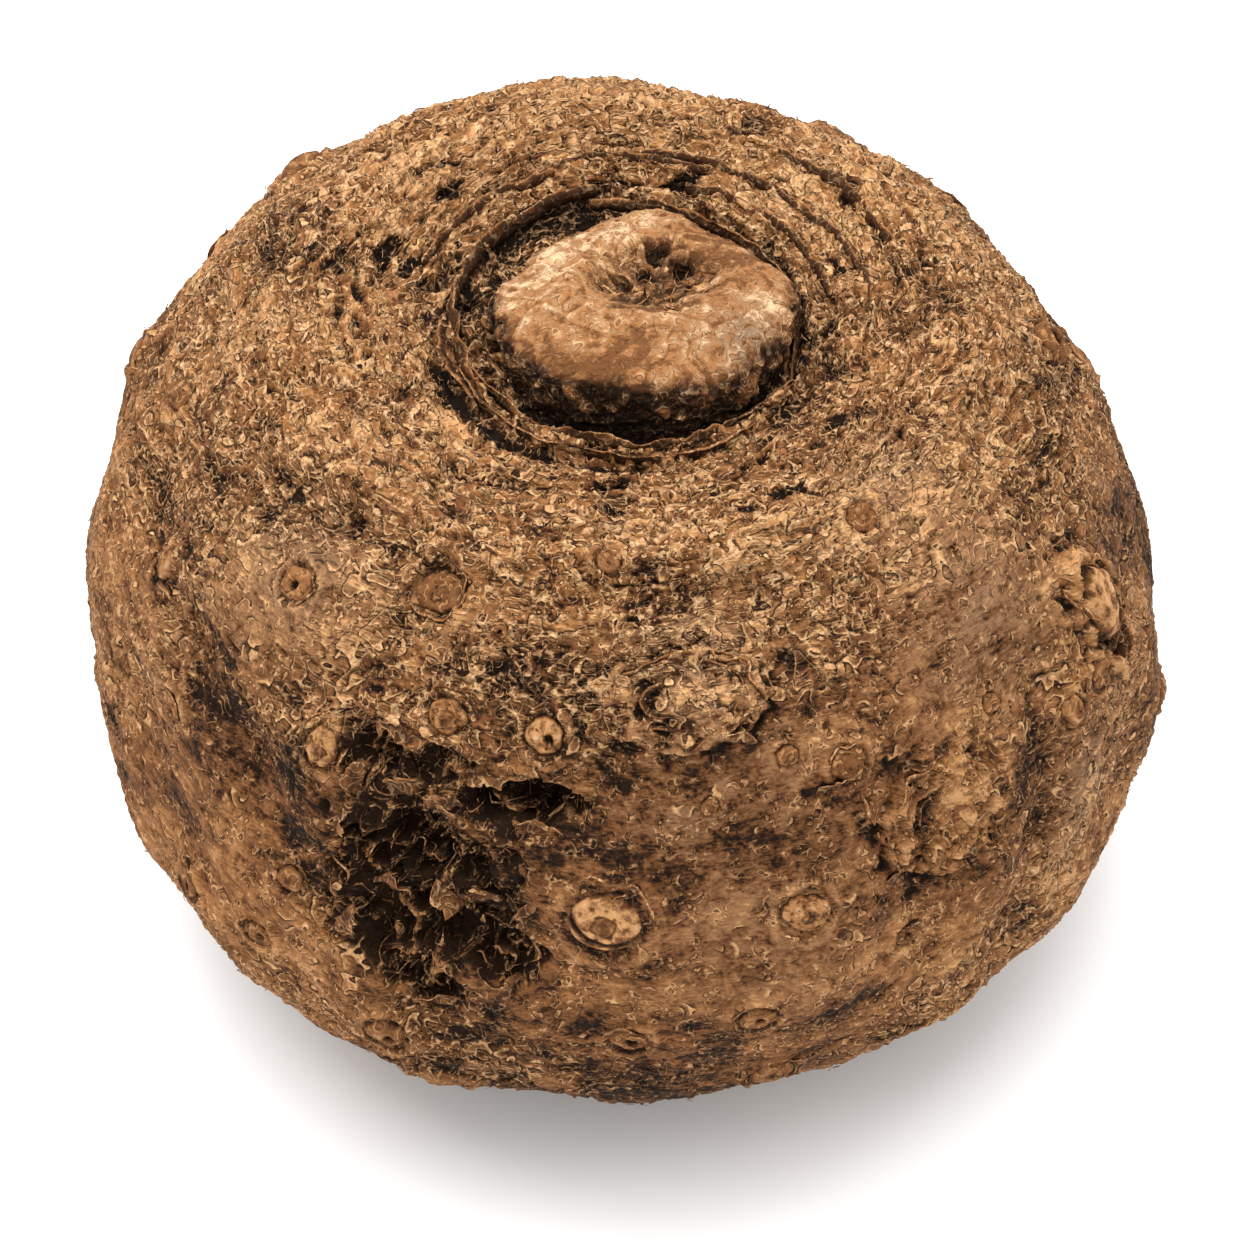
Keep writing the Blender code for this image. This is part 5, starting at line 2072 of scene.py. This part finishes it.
@dataclass
class Curls:
    """Loose fibres lying on the bark: thin three-sided curls, most of them along the rings."""

    name: str
    count: int
    length: tuple[float, float]
    width: tuple[float, float]
    lift: float
    spread: float
    seed: int
    rings: int = 3
    brightness: float = 0.55
    lowest: float = 0.3

    def build(self, grid: Array, density: Array, tone: Array, dress: bpy.types.Material) -> None:
        """Places the curls on random points of a grid and makes one piece of them.

        Args:
            grid: Points of the surface that they lie on, rows by columns.
            density: How many a square millimetre, at each grid point, up to a factor.
            tone: How much lighter than usual they are, at each grid point.
            dress: Their material.
        """
        draw = np.random.default_rng(self.seed)
        down = np.gradient(grid, axis=0)
        along = np.roll(grid, -1, axis=1) - grid
        area = np.linalg.norm(np.cross(down, along), axis=-1)
        weight = (area * density).ravel()
        picked = draw.choice(weight.size, self.count, p=weight / weight.sum())
        centre = grid.reshape(-1, 3)[picked] + draw.normal(0, 0.15, (self.count, 3))
        out = grid_normals(grid).reshape(-1, 3)[picked]
        level = unit(along.reshape(-1, 3)[picked])
        level = unit(level - out * np.sum(level * out, axis=-1, keepdims=True))
        angle = draw.normal(0, self.spread, self.count)[:, None]
        ahead = level * np.cos(angle) + np.cross(out, level) * np.sin(angle)
        points = self.shapes(draw, centre, (ahead, np.cross(out, ahead), out))
        size = points.shape[1]
        faces = self.curl_faces()[None] + np.arange(self.count)[:, None, None] * size
        shade = np.clip(draw.normal(self.brightness, 0.22, self.count), 0.02, 1)
        # Curls follow the skin's lightness patches, painted light and shade among them
        shade = np.repeat(np.clip(shade + 0.35 * tone.ravel()[picked], 0, 1), size)
        points = points.reshape(-1, 3)
        points[:, 2] = np.maximum(points[:, 2], self.lowest)
        make_piece(self.name, points, faces.reshape(-1, 3), dress, shade=shade)

    def shapes(self, draw: np.random.Generator, centre: Array, axes: tuple) -> Array:
        """Points of every curl: a bent and twisted spine with a tip at each end, and between them
        rings of three corners whose reach is the width times the root of 1 - t^2.

        Args:
            draw: The random draw.
            centre: Middle of each curl.
            axes: Forward, sideways and outward axes of each.

        Returns:
            Points, curls by points of each.
        """
        ahead, beside, out = axes
        length = self.length[0] + (self.length[1] - self.length[0]) * draw.random(self.count) ** 2
        width = draw.uniform(*self.width, self.count)
        bend = draw.normal(0, 0.8, self.count)
        rise = self.lift * draw.random(self.count) ** 2
        where = np.linspace(-1, 1, self.rings + 2)
        half = 0.5 * length[:, None]
        forward = half * where * (1 - 0.12 * np.abs(bend)[:, None] * where**2)
        twist = draw.normal(0, 0.3, self.count)[:, None]
        sideways = half * (bend[:, None] * (where**2 - 0.4) + twist * np.sin(3 * where))
        upward = 0.12 + rise[:, None] * (0.5 + 0.5 * where) ** 2 * half
        spine = centre[:, None] + forward[..., None] * ahead[:, None]
        spine = spine + sideways[..., None] * beside[:, None] + upward[..., None] * out[:, None]
        lean = draw.normal(0, 0.6, self.count)[:, None]
        flat = beside * np.cos(lean) + out * np.sin(lean)
        thick = np.cross(ahead, flat)
        reach = (width[:, None] * np.sqrt(1 - where[1:-1] ** 2))[..., None]
        middle = spine[:, 1:-1]
        sides = (flat, 1.0), (flat, -1.0), (thick, 0.45)
        corners = np.stack([middle + share * reach * way[:, None] for way, share in sides], axis=2)
        corners = corners.reshape(self.count, -1, 3)
        return np.concatenate([spine[:, :1], corners, spine[:, -1:]], axis=1)

    def curl_faces(self) -> Array:
        """Triangles of one curl: a tip, rings of three, and a tip.

        Returns:
            Three point numbers a face.
        """
        last = 1 + 3 * self.rings
        faces = []
        for k in range(3):
            faces.append((0, 1 + (k + 1) % 3, 1 + k))
            faces.append((last, last - 3 + k, last - 3 + (k + 1) % 3))
        for ring in range(self.rings - 1):
            start = 1 + 3 * ring
            for k in range(3):
                a, b = start + k, start + (k + 1) % 3
                faces.append((a, b, b + 3))
                faces.append((a, b + 3, a + 3))
        return np.array(faces)


@dataclass
class Studio:
    """A pale floor, a white surround, one large soft light and the camera. Lengths are in metres,
    and focal, picture and centre in the picture's pixels."""

    aim: tuple[float, float, float] = (0.0, 0.0, 0.064)
    distance: float = 0.8
    elevation: float = 45.0
    focal: float = 4264.0
    picture: float = 1254.0
    centre: tuple[float, float] = (624.0, 604.0)
    sensor: float = 36.0
    key_place: tuple[float, float, float] = (-0.18, 0.15, 1.45)
    key_size: float = 1.7
    key_power: float = 33.0
    surround: float = 1.25
    floor_half: float = 3.0
    floor_tint: tuple[float, float, float, float] = (0.92, 0.92, 0.92, 1)

    def build(self) -> None:
        """Makes the floor, the lights and the camera."""
        self.floor()
        self.light("key", self.key_place, self.key_size, self.key_power)
        world = bpy.data.worlds.new("surround")
        world.use_nodes = True
        ground = world.node_tree.nodes["Background"]
        ground.inputs["Color"].default_value = (1.0, 1.0, 1.0, 1.0)
        ground.inputs["Strength"].default_value = self.surround
        bpy.context.scene.world = world
        bpy.context.scene.view_settings.view_transform = "Standard"
        self.camera()

    def floor(self) -> None:
        """A wide white sheet at the height of the resting spot."""
        size = self.floor_half
        corners = [(-size, -size, 0), (size, -size, 0), (size, size, 0), (-size, size, 0)]
        mesh = bpy.data.meshes.new("floor")
        mesh.from_pydata(corners, [], [(0, 1, 2, 3)])
        tree = Tree("floor")
        tree.shader.inputs["Base Color"].default_value = self.floor_tint
        tree.shader.inputs["Roughness"].default_value = 0.7
        mesh.materials.append(tree.material)
        floor = bpy.data.objects.new("floor", mesh)
        bpy.context.scene.collection.objects.link(floor)

    def light(self, name: str, place: tuple[float, float, float], size: float, power: float) -> None:
        """A square soft light that faces the corm.

        Args:
            name: Its name.
            place: Its place in metres.
            size: Its side in metres.
            power: Its power in watts.
        """
        lamp = bpy.data.lights.new(name, "AREA")
        lamp.size = size
        lamp.energy = power
        holder = bpy.data.objects.new(name, lamp)
        holder.location = place
        gaze = Vector(self.aim) - Vector(place)
        holder.rotation_euler = gaze.to_track_quat("-Z", "Y").to_euler()
        bpy.context.scene.collection.objects.link(holder)

    def camera(self) -> None:
        """The camera at the photograph's viewing angle."""
        lens = bpy.data.cameras.new("camera")
        lens.sensor_width = self.sensor
        lens.lens = self.sensor * self.focal / self.picture
        lens.shift_x = (self.picture / 2 - self.centre[0]) / self.picture
        lens.shift_y = (self.centre[1] - self.picture / 2) / self.picture
        holder = bpy.data.objects.new("camera", lens)
        angle = math.radians(self.elevation)
        back = Vector((0.0, -math.cos(angle), math.sin(angle)))
        holder.location = Vector(self.aim) + self.distance * back
        holder.rotation_euler = (math.pi / 2 - angle, 0.0, 0.0)
        bpy.context.scene.collection.objects.link(holder)
        bpy.context.scene.camera = holder


def main() -> None:
    """Builds the corm's pieces in order, then the studio."""
    logging.basicConfig(level=logging.INFO, format="%(message)s")
    form = CormForm()
    bark, stalk, fibre = BarkFinish().build(), ButtonFinish().build(), FibreFinish().build()
    skin = Skin(form)
    skin.work_out()
    skin.build(bark)
    button = Button()
    button.build(stalk)
    Stumps(form).build(StumpFinish().build())
    Collar(form).build(fibre)
    Frills(form).build(fibre)
    Flaps(form).build(fibre)
    fluff = skin.qualities["fluff"]
    high = ramp(skin.points[..., 2], 4.0, 20.0)
    crown = ramp(fluff, 0.5, 0.9) * ramp(np.hypot(skin.points[..., 0], skin.points[..., 1]), 30, 36)
    shaggy = Curls("crown_fibres", 4200, (1.0, 3.2), (0.10, 0.20), 0.4, 0.6, seed=71)
    shaggy.build(skin.points, crown, skin.tone, fibre)
    loose = Curls("side_fibres", 4200, (0.7, 2.6), (0.09, 0.17), 0.4, 0.8, seed=72)
    loose.build(skin.points, (0.12 + fluff) * high, skin.tone, fibre)
    shreds = Curls(
        "hollow_shreds", 260, (2.0, 8.0), (0.14, 0.4), 0.5, 1.2, seed=73, rings=5, brightness=0.35
    )
    shreds.build(skin.points, skin.qualities["rot"] * high, skin.tone, fibre)
    threads = Curls(
        "pit_threads", 22, (5.0, 10.0), (0.20, 0.34), 0.35, 0.7, seed=74, rings=7, brightness=0.5
    )
    threads.build(button.points, button.pit**2, 0 * button.pit, fibre)
    Studio().build()


if __name__ == "__main__":
    main()
